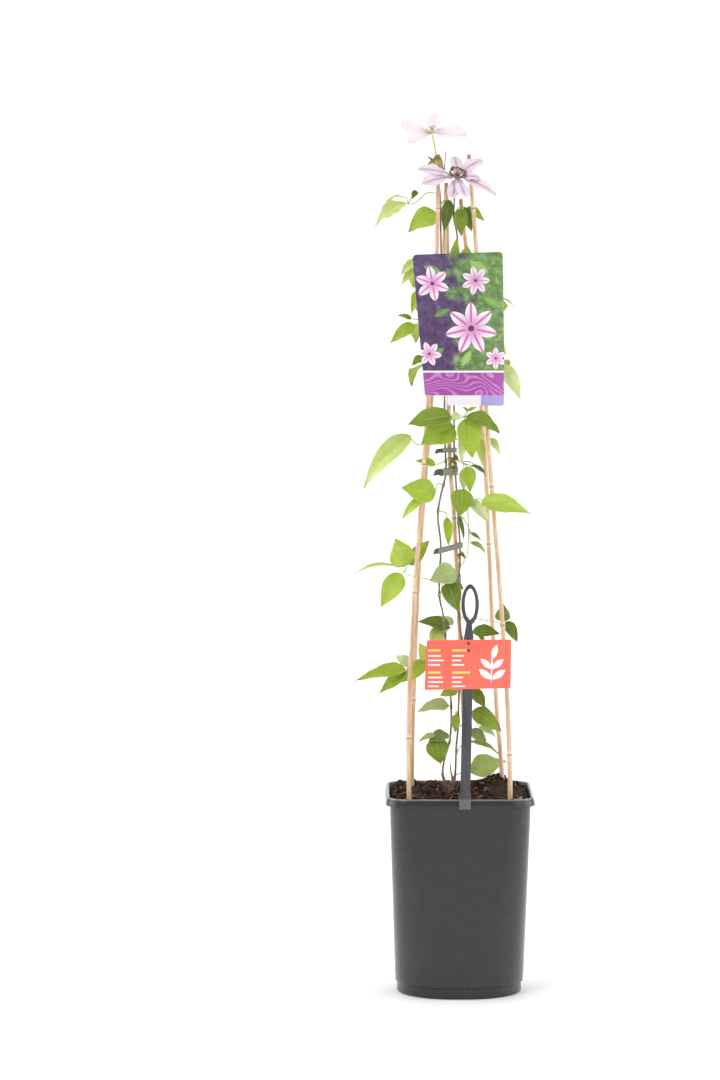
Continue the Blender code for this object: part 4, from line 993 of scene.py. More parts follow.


# Each leaflet's tone is partly its own green and partly painted light: low tones darken leaflets that lie
# in shadow, and high tones lighten those in full light.
SPRAYS = {
    "leaf_top_left": ("left", 1082, [(-45, -14, 1083), (-60, -20, 1070), (-71, -23, 1068)], [
        leaflet((-75, -25, 1070), (-115, -45, 1039), 25, 35, arch=0.12, tone=0.92),
        leaflet((-72, -19, 1076), (-101, -8, 1069), 13, 5, arch=0.16, tone=0.80),
        leaflet((-60, -24, 1086), (-65, -27, 1075), 9, 80, fold=0.6, tone=0.12)]),
    "leaf_top_wide": ("left", 1066, [(-25, -8, 1070), (-22, -12, 1072)], [
        leaflet((-33, -12, 1057), (-70, -21, 1031), 31, 62, arch=0.06, tone=0.66),
        leaflet((-15, -13, 1073), (-22, -15, 1031), 16, 82, tone=0.08)]),
    "leaf_top_right": ("right", 1056, [(-4, -12, 1062), (0, -13, 1064)], [
        leaflet((1, -14, 1062), (1, -19, 1025), 19, 75, tone=0.30),
        leaflet((6, -13, 1063), (15, -15, 1031), 17, 72, tone=0.20),
        leaflet((9, -9, 1063), (32, -10, 1046), 14, 60, tone=0.50)]),
    "leaf_over_card": ("right", 990, [(0, -15, 983), (0, -17, 982)], [
        leaflet((-8, -18, 985), (-5, -20, 1023), 14, 85, fold=0.1, tone=0.45),
        leaflet((6, -18, 984), (9, -22, 1013), 22, 80, fold=0.1, tone=0.62)]),
    "leaf_card_left_high": ("left", 965, [(-34, -6, 972), (-48, -8, 980)], [
        leaflet((-58, -14, 992), (-80, -24, 974), 14, 60, tone=0.95),
        leaflet((-58, -8, 983), (-79, -14, 960), 13, 62, tone=0.85),
        leaflet((-52, 2, 974), (-62, 42, 954), 26, 25)]),
    "leaf_card_left_mid": ("left", 925, [(-34, -4, 935), (-50, -8, 946)], [
        leaflet((-58, -16, 951), (-66, -25, 921), 13, 70, tone=0.70),
        leaflet((-53, 2, 944), (-58, 40, 924), 24, 20)]),
    "leaf_card_left_low": ("left", 898, [(-34, -6, 906), (-52, -10, 911)], [
        leaflet((-62, -17, 906), (-94, -30, 883), 18, 62, tone=0.60),
        leaflet((-66, -14, 914), (-84, -16, 919), 8, 50, tone=0.35),
        leaflet((-52, 0, 906), (-60, 44, 880), 25, 22)]),
    "leaf_card_left_foot": ("right", 848, [(-20, -16, 850), (-40, -12, 856)], [
        leaflet((-50, -16, 862), (-65, -25, 852), 13, 55, tone=0.30),
        leaflet((-50, 4, 852), (-66, 42, 822), 24, 25)]),
    "leaf_card_right_high": ("right", 935, [(15, -10, 942), (40, -13, 946)], [
        leaflet((45, -13, 948), (60, 12, 924), 22, 40),
        leaflet((52, -18, 943), (72, -28, 931), 3, 30, fold=0.0)]),
    "leaf_card_right_low": ("right", 852, [(15, -10, 858), (42, -11, 864)], [
        leaflet((56, -16, 852), (81, -30, 806), 21, 70, tone=1.0),
        leaflet((46, -14, 880), (62, -20, 866), 16, 72, tone=0.90),
        leaflet((46, 2, 860), (62, 42, 836), 24, 25)]),
    "leaf_card_back_low": ("right", 884, [(-5, 8, 890), (-3, 28, 894)], [
        leaflet((-3, 36, 893), (4, 80, 866), 28, 10),
        leaflet((4, 34, 892), (32, 62, 879), 22, 10)]),
    "leaf_card_back_high": ("left", 955, [(-9, 12, 962), (-7, 26, 966)], [
        leaflet((-6, 34, 967), (-8, 82, 944), 28, 10),
        leaflet((0, 33, 966), (28, 60, 958), 22, 10)]),
    "leaf_upper_left": ("right", 772, [(-8, -32, 778), (-8, -40, 781)], [
        leaflet((-14, -52, 785), (-70, -72, 776), 28, 50, arch=0.05, tone=0.30),
        leaflet((-9, -48, 770), (-53, -62, 749), 42, 68, arch=0.06, tone=0.50)]),
    "leaf_upper_far_left": ("left", 756, [(-40, -28, 746), (-58, -34, 746), (-66, -38, 753)], [
        leaflet((-68, -38, 758), (-131, -60, 688), 29, 60, arch=0.20, tone=0.90)]),
    "leaf_upper_right": ("right", 778, [(0, -36, 782), (5, -44, 783)], [
        leaflet((8, -52, 785), (52, -66, 765), 26, 42, arch=0.08, tone=0.30),
        leaflet((10, -50, 782), (16, -56, 729), 34, 80, arch=0.05, tone=0.62),
        leaflet((5, -44, 768), (2, -40, 718), 12, 82, tone=1.0),
        leaflet((-2, -44, 787), (-15, -50, 779), 12, 60, tone=1.0, grey=0.3),
        leaflet((9, -46, 792), (2, -50, 797), 5, 60, tone=0.55),
        leaflet((10, -46, 792), (22, -50, 797), 5, 60, tone=0.60)]),
    "leaf_side_right": ("right", 752, [(18, -24, 757), (38, -28, 758)], [
        leaflet((41, -30, 754), (53, -36, 733), 10, 70, tone=0.90),
        leaflet((24, -30, 756), (30, -32, 717), 14, 78, tone=0.85)]),
    "leaf_small_left": ("left", 722, [(-26, -26, 720), (-30, -32, 719)], [
        leaflet((-34, -34, 718), (-60, -38, 724), 11, 60, tone=0.60)]),
    "leaf_mid_centre": ("right", 724, [(0, -28, 722), (4, -33, 720)], [
        leaflet((9, -36, 716), (13, -42, 683), 20, 80, tone=0.60),
        leaflet((4, -36, 713), (5, -34, 684), 12, 80, tone=1.0, grey=0.5),
        leaflet((14, -34, 717), (35, -36, 704), 10, 25, tone=0.12),
        leaflet((3, -35, 722), (21, -38, 718), 3, 20, tone=0.30)]),
    "leaf_mid_left": ("left", 690, [(-30, -40, 694), (-33, -56, 688)], [
        leaflet((-35, -64, 680), (-80, -70, 690), 34, 72, arch=0.05, tone=0.62),
        leaflet((-52, -64, 676), (-79, -64, 648), 13, 60, tone=0.75)]),
    "leaf_mid_heart": ("right", 582, [(6, -31, 590), (10, -33, 600), (11, -34, 640),
                                      (8, -38, 684)], [
        leaflet((2, -44, 686), (-1, -48, 650), 31, 78, arch=0.04, tone=0.42),
        leaflet((12, -41, 672), (38, -47, 641), 15, 62, tone=1.0)]),
    "leaf_mid_small": ("right", 640, [(4, -30, 646), (12, -42, 632)], [
        leaflet((14, -42, 627), (28, -42, 617), 7, 40, tone=0.20),
        leaflet((-2, -40, 650), (5, -42, 618), 6, 75, at=0, tone=0.12),
        leaflet((14, -42, 614), (34, -42, 600), 10, 30, tone=0.35, grey=0.6)]),
    "leaf_mid_right": ("right", 660, [(8, -28, 664), (21, -33, 672), (25, -56, 674)], [
        leaflet((28, -64, 672), (93, -76, 656), 28, 65, arch=0.08, tone=0.74)]),
    "leaf_rolled": ("left", 655, [(-24, -26, 655), (-19, -29, 653)], [
        leaflet((-18, -31, 647), (-16, -34, 608), 13, 82, fold=0.7, tone=0.72)]),
    "leaf_left_fan": ("left", 560, [(-45, -30, 564), (-65, -34, 568), (-75, -38, 574)], [
        leaflet((-74, -38, 582), (-87, -44, 620), 35, 76, arch=0.05, tone=0.76),
        leaflet((-68, -35, 584), (-41, -34, 617), 20, 80, tone=0.50),
        leaflet((-80, -42, 572), (-107, -54, 528), 29, 76, arch=0.05, tone=0.70),
        leaflet((-90, -40, 583), (-146, -58, 571), 11, 30, arch=0.10, tone=0.90)]),
    "leaf_centre_grey": ("left", 584, [(-14, -32, 582), (-6, -36, 576)], [
        leaflet((-5, -38, 572), (-41, -44, 563), 30, 58, arch=0.24, tone=0.50, grey=1.0)]),
    "leaf_centre_dark": ("left", 542, [(-24, -36, 556), (-18, -37, 566)], [
        leaflet((-17, -38, 560), (-3, -42, 521), 27, 76, tone=0.22)]),
    "leaf_low_left": ("left", 488, [(-18, -22, 492), (-13, -18, 496)], [
        leaflet((-14, -17, 498), (-56, -22, 506), 21, 55, tone=0.16),
        leaflet((-22, -16, 494), (-40, -18, 472), 24, 70, tone=0.85),
        leaflet((-10, -14, 500), (-22, -4, 512), 12, 60, tone=0.70, grey=1.0)]),
    "leaf_low_right": ("right", 484, [(8, -38, 488), (13, -40, 492)], [
        leaflet((17, -42, 494), (54, -46, 491), 17, 62, arch=0.12, tone=0.14),
        leaflet((25, -42, 490), (34, -44, 479), 7, 60, tone=0.40)]),
    "leaf_right_pair": ("right", 512, [(20, -26, 510), (46, -32, 506), (55, -38, 504)], [
        leaflet((57, -42, 508), (58, -46, 532), 21, 80, tone=0.25, grey=0.9),
        leaflet((62, -44, 507), (77, -52, 481), 16, 70, tone=0.18)]),
    "leaf_low_fan": ("left", 440, [(-32, -28, 444), (-58, -32, 442), (-70, -37, 442)], [
        leaflet((-74, -40, 443), (-140, -58, 430), 20, 60, arch=0.12, tone=0.58),
        leaflet((-74, -40, 440), (-109, -50, 411), 18, 66, tone=0.52),
        leaflet((-64, -20, 445), (-87, -10, 458), 15, 70, tone=0.80, grey=1.0),
        leaflet((-46, -28, 452), (-80, -36, 424), 21, 66, at=0, tone=0.60),
        leaflet((-42, -26, 454), (-55, -30, 477), 20, 78, at=0, tone=0.82)]),
    "leaf_under_card": ("right", 424, [(3, -46, 420), (6, -48, 418)], [
        leaflet((-4, -48, 416), (-27, -52, 408), 17, 62, tone=0.45),
        leaflet((14, -48, 418), (34, -54, 391), 17, 66, tone=0.20)]),
    "leaf_bottom_rib": ("right", 378, [(-5, -47, 386), (-6, -49, 386)], [
        leaflet((-6, -50, 382), (-7, -54, 358), 12, 82, tone=0.45)]),
    "leaf_bottom_grey": ("left", 392, [(-18, -38, 396), (-20, -42, 395)], [
        leaflet((-16, -44, 394), (-57, -52, 387), 24, 42, arch=0.10, tone=0.50, grey=1.0)]),
    "leaf_bottom_left": ("left", 344, [(-14, -44, 352), (-18, -50, 354)], [
        leaflet((-16, -52, 355), (-44, -60, 345), 21, 45, arch=0.16, tone=0.14, grey=0.3),
        leaflet((-34, -58, 356), (-56, -62, 347), 9, 55, tone=0.45, grey=0.8),
        leaflet((-32, -58, 350), (-27, -64, 317), 31, 80, arch=0.06, wave=0.13, tone=0.30)]),
    "leaf_bottom_right": ("right", 366, [(8, -48, 372), (14, -50, 382)], [
        leaflet((18, -50, 388), (56, -52, 360), 27, 62, tone=0.30),
        leaflet((16, -47, 362), (36, -51, 342), 16, 66, tone=0.22, grey=0.6),
        leaflet((26, -40, 364), (48, -42, 351), 11, 45, tone=0.80, grey=0.8)]),
    "leaf_bottom_thin": ("right", 328, [(-1, -46, 337), (10, -48, 344)], [
        leaflet((14, -48, 345), (54, -51, 327), 10, 30, tone=0.30, grey=0.6)]),
    "leaf_foot_right": ("right", 298, [(2, -12, 298), (10, 30, 296), (15, 50, 297)], [
        leaflet((18, 55, 289), (66, 71, 304), 34, 52, arch=0.05, tone=0.46, grey=0.55)]),
}

# %% Grow every spray
STALK_RADIUS = 0.0008


def root_of(vine, z, towards):
    """Where a stalk starts, just clear of a vine, and the level way out from it."""
    middle = at_height(vine, z)
    out = towards - middle
    out.z = 0.0
    out.normalize()
    return middle + out * (VINE_RADIUS * 1.1 + GAP), out


def leaf_stalk(line, radii, tone):
    """A thin stalk in the dull green of leaf backs."""
    bm = stem(line, radii, 7, tone)
    mark_verts(bm, bm.verts, grey=0.8)
    return bm


for name, (vine, height, course, leaflets) in SPRAYS.items():
    course = [mm(*p) for p in course]
    start, out = root_of(vines[vine], height * 0.001, course[0])
    line = through([start - out * 0.0006, start + out * 0.002] + course, 5)
    spray = new_mesh()
    radii = taper(len(line), STALK_RADIUS * 1.25, STALK_RADIUS * 0.95)
    radii[0] *= 1.6
    radii[1] *= 1.3
    add_to(spray, leaf_stalk(line, radii, 0.62))
    for order, (base, tip, width, face, at, bends) in enumerate(leaflets):
        end = course[at]
        shade = noise.noise(base * 31 + Vector((order, 0, 0)))
        bent = noise.noise_vector(base * 57)
        bends = {"tone": 0.52 + 0.22 * shade, "fold": 0.26 + 0.30 * bent.x,
                 "wave": 0.055 + 0.045 * bent.y, "twist": 1.1 * bent.z, **bends}
        rib = [end, end.lerp(base, 0.5) + Vector((0, 0, 0.0006)), base, base.lerp(tip, 0.08)]
        smooth = through(rib, 3)
        add_to(spray, leaf_stalk(smooth, taper(len(smooth), 0.00078, 0.00045), bends["tone"]))
        add_to(spray, blade(base, tip, width, face, **bends))
    stand_for(finish_mesh("spray" + name[4:], spray, leaf_green, 70), "leaf", name)

# %% [markdown]
# ## Withered leaves and a dry tip
# Where the left vine reaches its cane's top, three leaves have dried up. They
# are the same blades, narrow, folded and crinkled, in olive turning to brown. A
# dry thread of stem stands up beside them.

# %% Withered leaves at the top of the left vine
WITHERED = [((-44, -17, 1132), 6), ((-44, -17, 1118), 8), ((-22, -9, 1112), 7)]
SCRAPS = [(0.731, 7, -9), (0.727, -9, -11), (0.722, 5, -12), (0.716, -6, -10), (0.600, 8, -9),
          (0.597, -5, -8), (0.573, -9, -4), (0.557, 7, -8), (0.552, -8, -7)]
dry = Look("withered leaf", Roughness=0.75)
blotch = dry.noise(dry.place(), 160.0, 4.0, 0.6)
dry_colour = dry.ramp(blotch, [(0.30, (0.085, 0.065, 0.018)), (0.45, (0.22, 0.18, 0.050)),
                               (0.60, (0.44, 0.32, 0.13)), (0.80, (0.60, 0.46, 0.26))])
dry_olive = dry.wear(Base_Color=dry_colour, Normal=dry.bump(blotch, 0.0010))
top = at_height(vines["left"], 1.116)
withered = new_mesh()
for tip, width in WITHERED:
    add_to(withered, blade(top, mm(*tip), width * 0.001, facing(70), fold=0.6, wave=0.28,
                           stations=14, strips=8))
for base, tip, width in (((-33, -25, 1134), (-27, -27, 1111), 11), ((-30, -26, 1131), (-24, -21, 1110), 8),
                         ((-32, -26, 1126), (-45, -24, 1119), 9)):
    add_to(withered, blade(mm(*base), mm(*tip), width * 0.001, facing(85), fold=-0.5, wave=0.22,
                           stations=14, strips=8))
for height, reach, drop in SCRAPS:
    foot = at_height(vines["right"], height)
    add_to(withered, blade(foot, foot + mm(reach, -5, drop), 0.0055, facing(80), fold=0.5,
                           wave=0.3, stations=12, strips=8))
peg = through([mm(-22, -8, 1110), mm(-21, -11, 1124), mm(-20, -13, 1138)], 4)
add_to(withered, stem(peg, taper(len(peg), 0.0009, 0.0006), 7, 0.3))
stand_for(finish_mesh("withered_leaves", withered, dry_olive, 70), "vine", "vines")

# %% [markdown]
# ## The flowers
# A clematis flower has no true petals: its eight coloured blades are tepals,
# pale lilac-pink with a broad mauve bar down the middle and crinkled edges. The
# older flower at the top has faded nearly to white and lost some of its tepals.
# In the middle stands a boss of styles inside a ring of dark stamens, each a
# cream thread with a maroon anther at its end.

# %% Tepal colours
def tepal_look(name, ground, flush, bar, bar_strength):
    """A soft tepal material: the ground colour, a flush towards the base and the bar."""
    tepal = Look(name, Roughness=0.55, Specular_IOR_Level=0.25)
    share = tepal.attribute("along")
    aside = abs(tepal.attribute("across"))
    where = tepal.place()
    cloud = tepal.noise(where, 110.0, 3.0)
    thread = ((aside * 9.0).fraction() - 0.5)
    lines = (1 - abs(thread).step(0.05, 0.35)) * 0.30
    spread = 0.17 + share * 0.14 - cloud * 0.16
    stripe = (1 - (aside - spread).step(-0.10, 0.12)) * (1 - share.step(0.72, 1.0) * 0.7)
    petal = tepal.mix(share.step(0.0, 0.6) * 0.7 + cloud * 0.3, flush, ground)
    petal = tepal.mix((stripe * (0.75 + cloud * 0.5)).least(1.0) * bar_strength, petal, bar)
    petal = tepal.mix(lines * (1 - stripe) * 0.8, petal, bar)
    petal = tepal.mix((1 - share.step(0.0, 0.10)) * 0.6, petal, (0.55, 0.62, 0.36))
    relief = tepal.bump(cloud * 0.0008 + lines * 0.0007, 1.0)
    return tepal.wear(Base_Color=petal, Normal=relief, Roughness=0.50 + cloud * 0.2)


lilac_tepal = tepal_look("lilac tepal", (0.90, 0.81, 0.86), (0.77, 0.57, 0.69),
                         (0.42, 0.20, 0.36), 0.68)
faded_tepal = tepal_look("faded tepal", (0.94, 0.88, 0.895), (0.91, 0.82, 0.845),
                         (0.88, 0.70, 0.76), 0.40)

# %% Where the flowers stand, with each tepal's tip and width
FLOWERS = {
    "main": dict(
        middle=(-6, -52, 1105), axis=(0.22, -0.60, 0.77), back=(-8, -13.3, 1077.3),
        tepals=[((-58, -58, 1115), 19), ((-52, -74, 1095), 20), ((-9, -28, 1131), 18),
                ((28, -36, 1127), 19), ((46, -64, 1081), 20), ((-13, -82, 1077), 19),
                ((5, -84, 1078), 19), ((24, -56, 1103), 17)]),
    "top": dict(
        middle=(-38, -15, 1163), axis=(-0.10, -0.50, 0.86), back=(-31.1, -13.2, 1122.8),
        face=(-0.15, -0.84, 0.52),
        tepals=[((-80, -20, 1174), 21), ((-33, 12, 1188), 21), ((8, -24, 1160), 20),
                ((-70, -46, 1150), 19), ((0, 20, 1170), 19)]),
}
DISC_HALF = 0.0011


def grow_tepals(flower):
    """The tepals, joined at a small domed disc."""
    middle, axis = mm(*flower["middle"]), Vector(flower["axis"]).normalized()
    disc = [middle - axis * DISC_HALF, middle, middle + axis * DISC_HALF * 0.8]
    whole = stem(disc, [0.0032, 0.0048, 0.0036], 16, 0.5, along=[0.0, 0.0, 0.0])
    for tip, width in flower["tepals"]:
        tip = mm(*tip)
        flat = (tip - middle) - axis * (tip - middle).dot(axis)
        base = middle + flat.normalized() * 0.0030
        face = Vector(flower.get("face", flower["axis"]))
        add_to(whole, blade(base, tip, width * 0.001, face, 0.05, 0.12, 0.09,
                            outline=tepal_outline, stations=22, strips=14, curl=0.10))
    return whole


# %% Stamens with anthers, round a boss of styles
def grow_stamens(flower, count, reach, faded):
    """A boss of styles and rings of stamens that stand up and lean out."""
    middle, axis = mm(*flower["middle"]), Vector(flower["axis"]).normalized()
    foot = middle + axis * (DISC_HALF + GAP)
    roll = random.Random(count)
    whole = stem([foot, foot + axis * 0.0022, foot + axis * 0.0044, foot + axis * 0.0060],
                 [0.0030, 0.0032, 0.0022, 0.0008], 14, 0.25 + 0.5 * faded)
    side = axis.orthogonal().normalized()
    for i in range(count):
        turned = Matrix.Rotation(2 * math.pi * (i * 0.618), 3, axis) @ side
        out = reach * roll.uniform(0.62, 1.0)
        rise = 0.0085 - 0.0030 * out / reach + roll.uniform(-0.0008, 0.0008)
        base = foot + axis * 0.0009 + turned * 0.0024
        bend = foot + axis * rise * 0.55 + turned * (0.0024 + out * 0.45)
        knee = foot + axis * rise * 0.90 + turned * out * 0.85
        end = foot + axis * rise + turned * (out + 0.0016)
        add_to(whole, stem([base, bend, knee], [0.00030, 0.00026, 0.00024], 4, 0.95,
                           round_ends=False))
        add_to(whole, stem([knee, knee.lerp(end, 0.25), knee.lerp(end, 0.75), end],
                           [0.00028, 0.00075, 0.00078, 0.00028], 6,
                           roll.uniform(0.0, 0.25) + 0.62 * faded,
                           round_ends=False))
    for i in range(12):
        turned = Matrix.Rotation(2 * math.pi * i / 12, 3, axis) @ side
        tipped = foot + axis * roll.uniform(0.0076, 0.0092) + turned * roll.uniform(0.0006, 0.0020)
        add_to(whole, stem([foot + axis * 0.004 + turned * 0.0016, tipped], [0.00040, 0.00018], 4,
                           0.55, round_ends=False))
    return whole


anther = Look("stamens", Roughness=0.6)
lot = anther.attribute("tone")
pollen = anther.noise(anther.place(), 1400.0, 2.0)
anther_colour = anther.ramp(lot, [(0.0, (0.075, 0.012, 0.022)), (0.30, (0.19, 0.035, 0.045)),
                                  (0.55, (0.46, 0.30, 0.20)), (1.0, (0.82, 0.76, 0.62))])
anther_colour = anther.mix(pollen.step(0.5, 0.8) * 0.35, anther_colour, (0.40, 0.22, 0.16))
stamen_maroon = anther.wear(Base_Color=anther_colour, Normal=anther.bump(pollen, 0.0003))

# %% Put the flowers together
for flower_name, petal_look, slot, count, reach, faded in (
        ("main", lilac_tepal, "pink_tepal", 52, 0.0125, 0.0),
        ("top", faded_tepal, "pale_tepal", 14, 0.0080, 1.0)):
    flower = FLOWERS[flower_name]
    solid = flower_name + "_flower_"
    tepals = finish_mesh(flower_name + "_tepals", grow_tepals(flower), petal_look, 70)
    stand_for(tepals, slot, solid + "tepals")
    stamens = finish_mesh(flower_name + "_stamens", grow_stamens(flower, count, reach, faded),
                          stamen_maroon)
    stand_for(stamens, "stamen", solid + "stamens")
    middle, axis = mm(*flower["middle"]), Vector(flower["axis"]).normalized()
    back = mm(*flower["back"])
    head = middle - axis * (DISC_HALF + GAP)
    neck = head - axis * 0.004
    bent = through([back, back.lerp(neck, 0.5) + Vector((0, 0, 0.002)), neck, head], 6)
    radii = taper(len(bent), 0.0011, 0.0010)
    radii[-1], radii[-2], radii[-3] = 0.0019, 0.0016, 0.0012
    stalk = stem(bent, radii, 10, 0.72)
    stand_for(finish_mesh(flower_name + "_stalk", stalk, leaf_green), "leaf", solid + "stalk")

# %% [markdown]
# ## Tape ties
# Dark plastic tape is wound round the centre cane and the vines beside it. The
# tight line round a few circles is where a straight edge touches them, found by
# asking in each direction which circle reaches furthest. The band is raised
# from that line and thickened, and its free end stands out to the left.

# %% Tie sizes: middle height, width, slope, tail length, the vines held
TIES = {
    "tie_low": (0.5625, 0.013, 0.0, 0.000, ["right"]),
    "tie_middle": (0.6070, 0.007, 0.25, 0.004, ["right", "left"]),
    "tie_upper": (0.7080, 0.009, 0.0, 0.010, ["right", "left"]),
    "tie_top": (0.7370, 0.006, 0.0, 0.008, ["right", "left"]),
}
TAPE_THICKNESS = 0.0008

tape = Look("plant tape", Roughness=0.5)
weave = tape.noise(tape.place(scale=(1, 1, 6)), 300.0, 3.0)
painted_band_sheen = tape.attribute("tone")
# The band's high tone paints a lighter sheen over the cane, and the tail keeps the dark tape colour. The
# weave is the tape's own grain.
tape_colour = tape.ramp(weave * 0.6 + painted_band_sheen * 0.4, [
    (0.20, (0.045, 0.052, 0.038)), (0.40, (0.11, 0.115, 0.092)), (0.62, (0.24, 0.235, 0.21)),
    (0.85, (0.38, 0.37, 0.34))])
tape_green = tape.wear(Base_Color=tape_colour, Roughness=0.40 + weave * 0.3,
                       Normal=tape.bump(weave, 0.0008))


def tight_outline(circles, gap, count=48):
    """Points of the tight line round circles (x, y, radius), a gap away."""
    points = []
    for i in range(count):
        angle = 2 * math.pi * i / count
        out = Vector((math.cos(angle), math.sin(angle)))
        cx, cy, radius = max(circles, key=lambda c: c[0] * out.x + c[1] * out.y + c[2])
        points.append(Vector((cx, cy)) + out * (radius + gap))
    return points


# %% Wind the ties
for name, (height, width, slope, tail, held) in TIES.items():
    middle = at_height(canes["cane_centre"], height)
    circles = [(middle.x, middle.y, 0.0034)]
    for vine in held:
        beside = at_height(vines[vine], height)
        circles.append((beside.x, beside.y, VINE_RADIUS * 1.1 + 0.0006))
    points = tight_outline(circles, 0.0006)
    band = new_mesh()
    ring = bmesh.ops.create_circle(band, segments=len(points), radius=0.01)["verts"]
    for vert, point in zip(ring, points):
        vert.co = (point.x, point.y, height - width / 2 + slope * (point.x - middle.x))
    grown = bmesh.ops.extrude_edge_only(band, edges=band.edges[:])["geom"]
    upper = [part for part in grown if isinstance(part, bmesh.types.BMVert)]
    bmesh.ops.translate(band, vec=(0, 0, width), verts=upper)
    rungs = [e for e in band.edges if (e.verts[0] in upper) != (e.verts[1] in upper)]
    bmesh.ops.subdivide_edges(band, edges=rungs, cuts=6, use_grid_fill=True)
    for vert in band.verts:
        out = vert.co - middle
        out.z = 0
        crease = noise.noise(vert.co * 420) * 0.0005 + 0.0004
        frayed = noise.noise(vert.co * 330 + Vector((0, 0, 7))) * 0.0010
        vert.co += out.normalized() * crease
        vert.co.z += frayed * (vert.co.z - height) * 2 / width
    bmesh.ops.recalc_face_normals(band, faces=band.faces)
    if sum(f.normal.dot(f.calc_center_median() - middle) for f in band.faces) < 0:
        bmesh.ops.reverse_faces(band, faces=band.faces)
    bmesh.ops.solidify(band, geom=band.faces[:], thickness=-TAPE_THICKNESS)
    # A high tone paints a sheen on the wound band.
    mark_verts(band, band.verts, tone=0.85)
    if tail:
        left = min(points, key=lambda p: p.x)
        strip = new_mesh()
        bmesh.ops.create_grid(strip, x_segments=12, y_segments=5, size=0.5)
        reach = tail + 0.004
        for vert in strip.verts:
            along, across = vert.co.x + 0.5, vert.co.y
            ripple = math.sin(7 * along + 900 * height) * 0.0009 * along
            ragged = 1 + 0.35 * noise.noise(Vector((along * 4, across * 5, height * 90)))
            vert.co = Vector((left.x + 0.0012 - reach * along * (0.9 + 0.2 * (0.5 - across)),
                              left.y - 0.0004 - 0.0016 * along * along + ripple,
                              height + slope * (left.x - middle.x) + width * 0.94 * across * ragged
                              - 0.0014 * along * along))
        bmesh.ops.solidify(strip, geom=strip.faces[:], thickness=TAPE_THICKNESS * 0.8)
        # A low tone: the free tail gets no painted sheen.
        mark_verts(strip, strip.verts, tone=0.15)
        add_to(band, strip)
    bmesh.ops.recalc_face_normals(band, faces=band.faces)
    stand_for(finish_mesh("tape" + name[3:], band, tape_green, 50), "tape", name)

# %% [markdown]
# ## The label strap
# A strap of dark grey plastic hooks over the rim, rises in front of the canes
# and ends in a needle's eye to lift it by. Two studs carry the small card. The
# flat parts are outlines raised to the strap's thickness, and a bevel rounds
# their edges so that they catch a thin line of light.

# %% Flat pieces with softened edges
STRAP_WIDTH = 0.0135
STRAP_THICKNESS = 0.0016
STRAP_FRONT = -0.1026
STUD_HEIGHTS = (0.4745, 0.4840)
STUD_FRONT = -0.1047


def strap_x(z):
    """The middle of the leaning strap at a height."""
    return 0.0055 + (z - 0.262) * 0.020


def slab(outline, front, back, soften):
    """A flat upright bmesh between two depths with the (x, z) outline, edges bevelled."""
    bm = new_mesh()
    bmesh.ops.create_circle(bm, cap_ends=True, segments=len(outline), radius=1.0)
    for vert, (x, z) in zip(bm.verts, outline):
        vert.co = (x, front, z)
    sheet = bmesh.ops.extrude_face_region(bm, geom=bm.faces[:])["geom"]
    verts = [part for part in sheet if isinstance(part, bmesh.types.BMVert)]
    bmesh.ops.translate(bm, vec=(0, back - front, 0), verts=verts)
    bmesh.ops.recalc_face_normals(bm, faces=bm.faces)
    if soften:
        rims = [e for e in bm.edges if abs(e.verts[0].co.y - e.verts[1].co.y) < 1e-6]
        bmesh.ops.bevel(bm, geom=rims, offset=soften, segments=2, profile=0.5, affect="EDGES",
                        material=-1)
    return bm


def block(low, high, soften):
    """A block between two corners with softened edges."""
    bm = new_mesh()
    bmesh.ops.create_cube(bm, size=1.0)
    bmesh.ops.scale(bm, vec=Vector(high) - Vector(low), verts=bm.verts)
    bmesh.ops.translate(bm, vec=(Vector(high) + Vector(low)) / 2, verts=bm.verts)
    bmesh.ops.bevel(bm, geom=bm.edges[:], offset=soften, segments=2, profile=0.5,
                    affect="EDGES", material=-1)
    return bm


def eye_outline(half, low, high, middle_x, count=56):
    """A needle's eye: a pointed oval from low to high."""
    points = []
    for i in range(count):
        angle = 2 * math.pi * i / count
        z = (low + high) / 2 - (high - low) / 2 * math.cos(angle)
        x = half * math.sin(angle) * (0.86 + 0.14 * abs(math.sin(angle)))
        points.append((middle_x + x, z))
    return points


# %% Strap plastic
strap_plastic = Look("strap plastic", IOR=1.47)
swirl = strap_plastic.noise(strap_plastic.place(scale=(1, 1, 0.2)), 120.0, 4.0)
sand = strap_plastic.noise(strap_plastic.place(), 1200.0, 2.0)
strap_colour = strap_plastic.ramp(swirl, [(0.3, (0.040, 0.038, 0.045)),
                                          (0.7, (0.070, 0.067, 0.076))])
clip_share = 1 - strap_plastic.parts(strap_plastic.place())[2].step(0.2736, 0.2750)
strap_colour = strap_plastic.mix(clip_share * 0.8, strap_colour, (0.135, 0.128, 0.140))
strap_grey = strap_plastic.wear(Base_Color=strap_colour, Roughness=0.34 + swirl * 0.25,
                                Normal=strap_plastic.bump(sand * 0.00006 + swirl * 0.0002, 1.0))

# %% Build the strap
back = STRAP_FRONT + STRAP_THICKNESS
half = STRAP_WIDTH / 2
bar = [(strap_x(0.262) - half, 0.262), (strap_x(0.262) + half, 0.262),
       (strap_x(0.486) + half, 0.486), (strap_x(0.494) + half * 0.93, 0.494),
       (strap_x(0.502) + half * 0.75, 0.502), (strap_x(0.508) + 0.0042, 0.508),
       (strap_x(0.513) + 0.0036, 0.513), (strap_x(0.513) - 0.0036, 0.513),
       (strap_x(0.508) - 0.0042, 0.508), (strap_x(0.502) - half * 0.75, 0.502),
       (strap_x(0.494) - half * 0.93, 0.494), (strap_x(0.486) - half, 0.486)]
eye_middle = strap_x(0.540) + 0.0008
eye = slab(eye_outline(0.0119, 0.5085, 0.5635, eye_middle), STRAP_FRONT + 0.0001,
           back - 0.0001, 0.0003)
eye = finish_mesh("strap_eye", eye, strap_grey)
hole = slab(eye_outline(0.0069, 0.5160, 0.5574, eye_middle), STRAP_FRONT - 0.01, back + 0.01, 0)
cut(eye, [finish_mesh("drill", hole, strap_grey)], 25)
stand_for(eye, "strap", "label_strap")

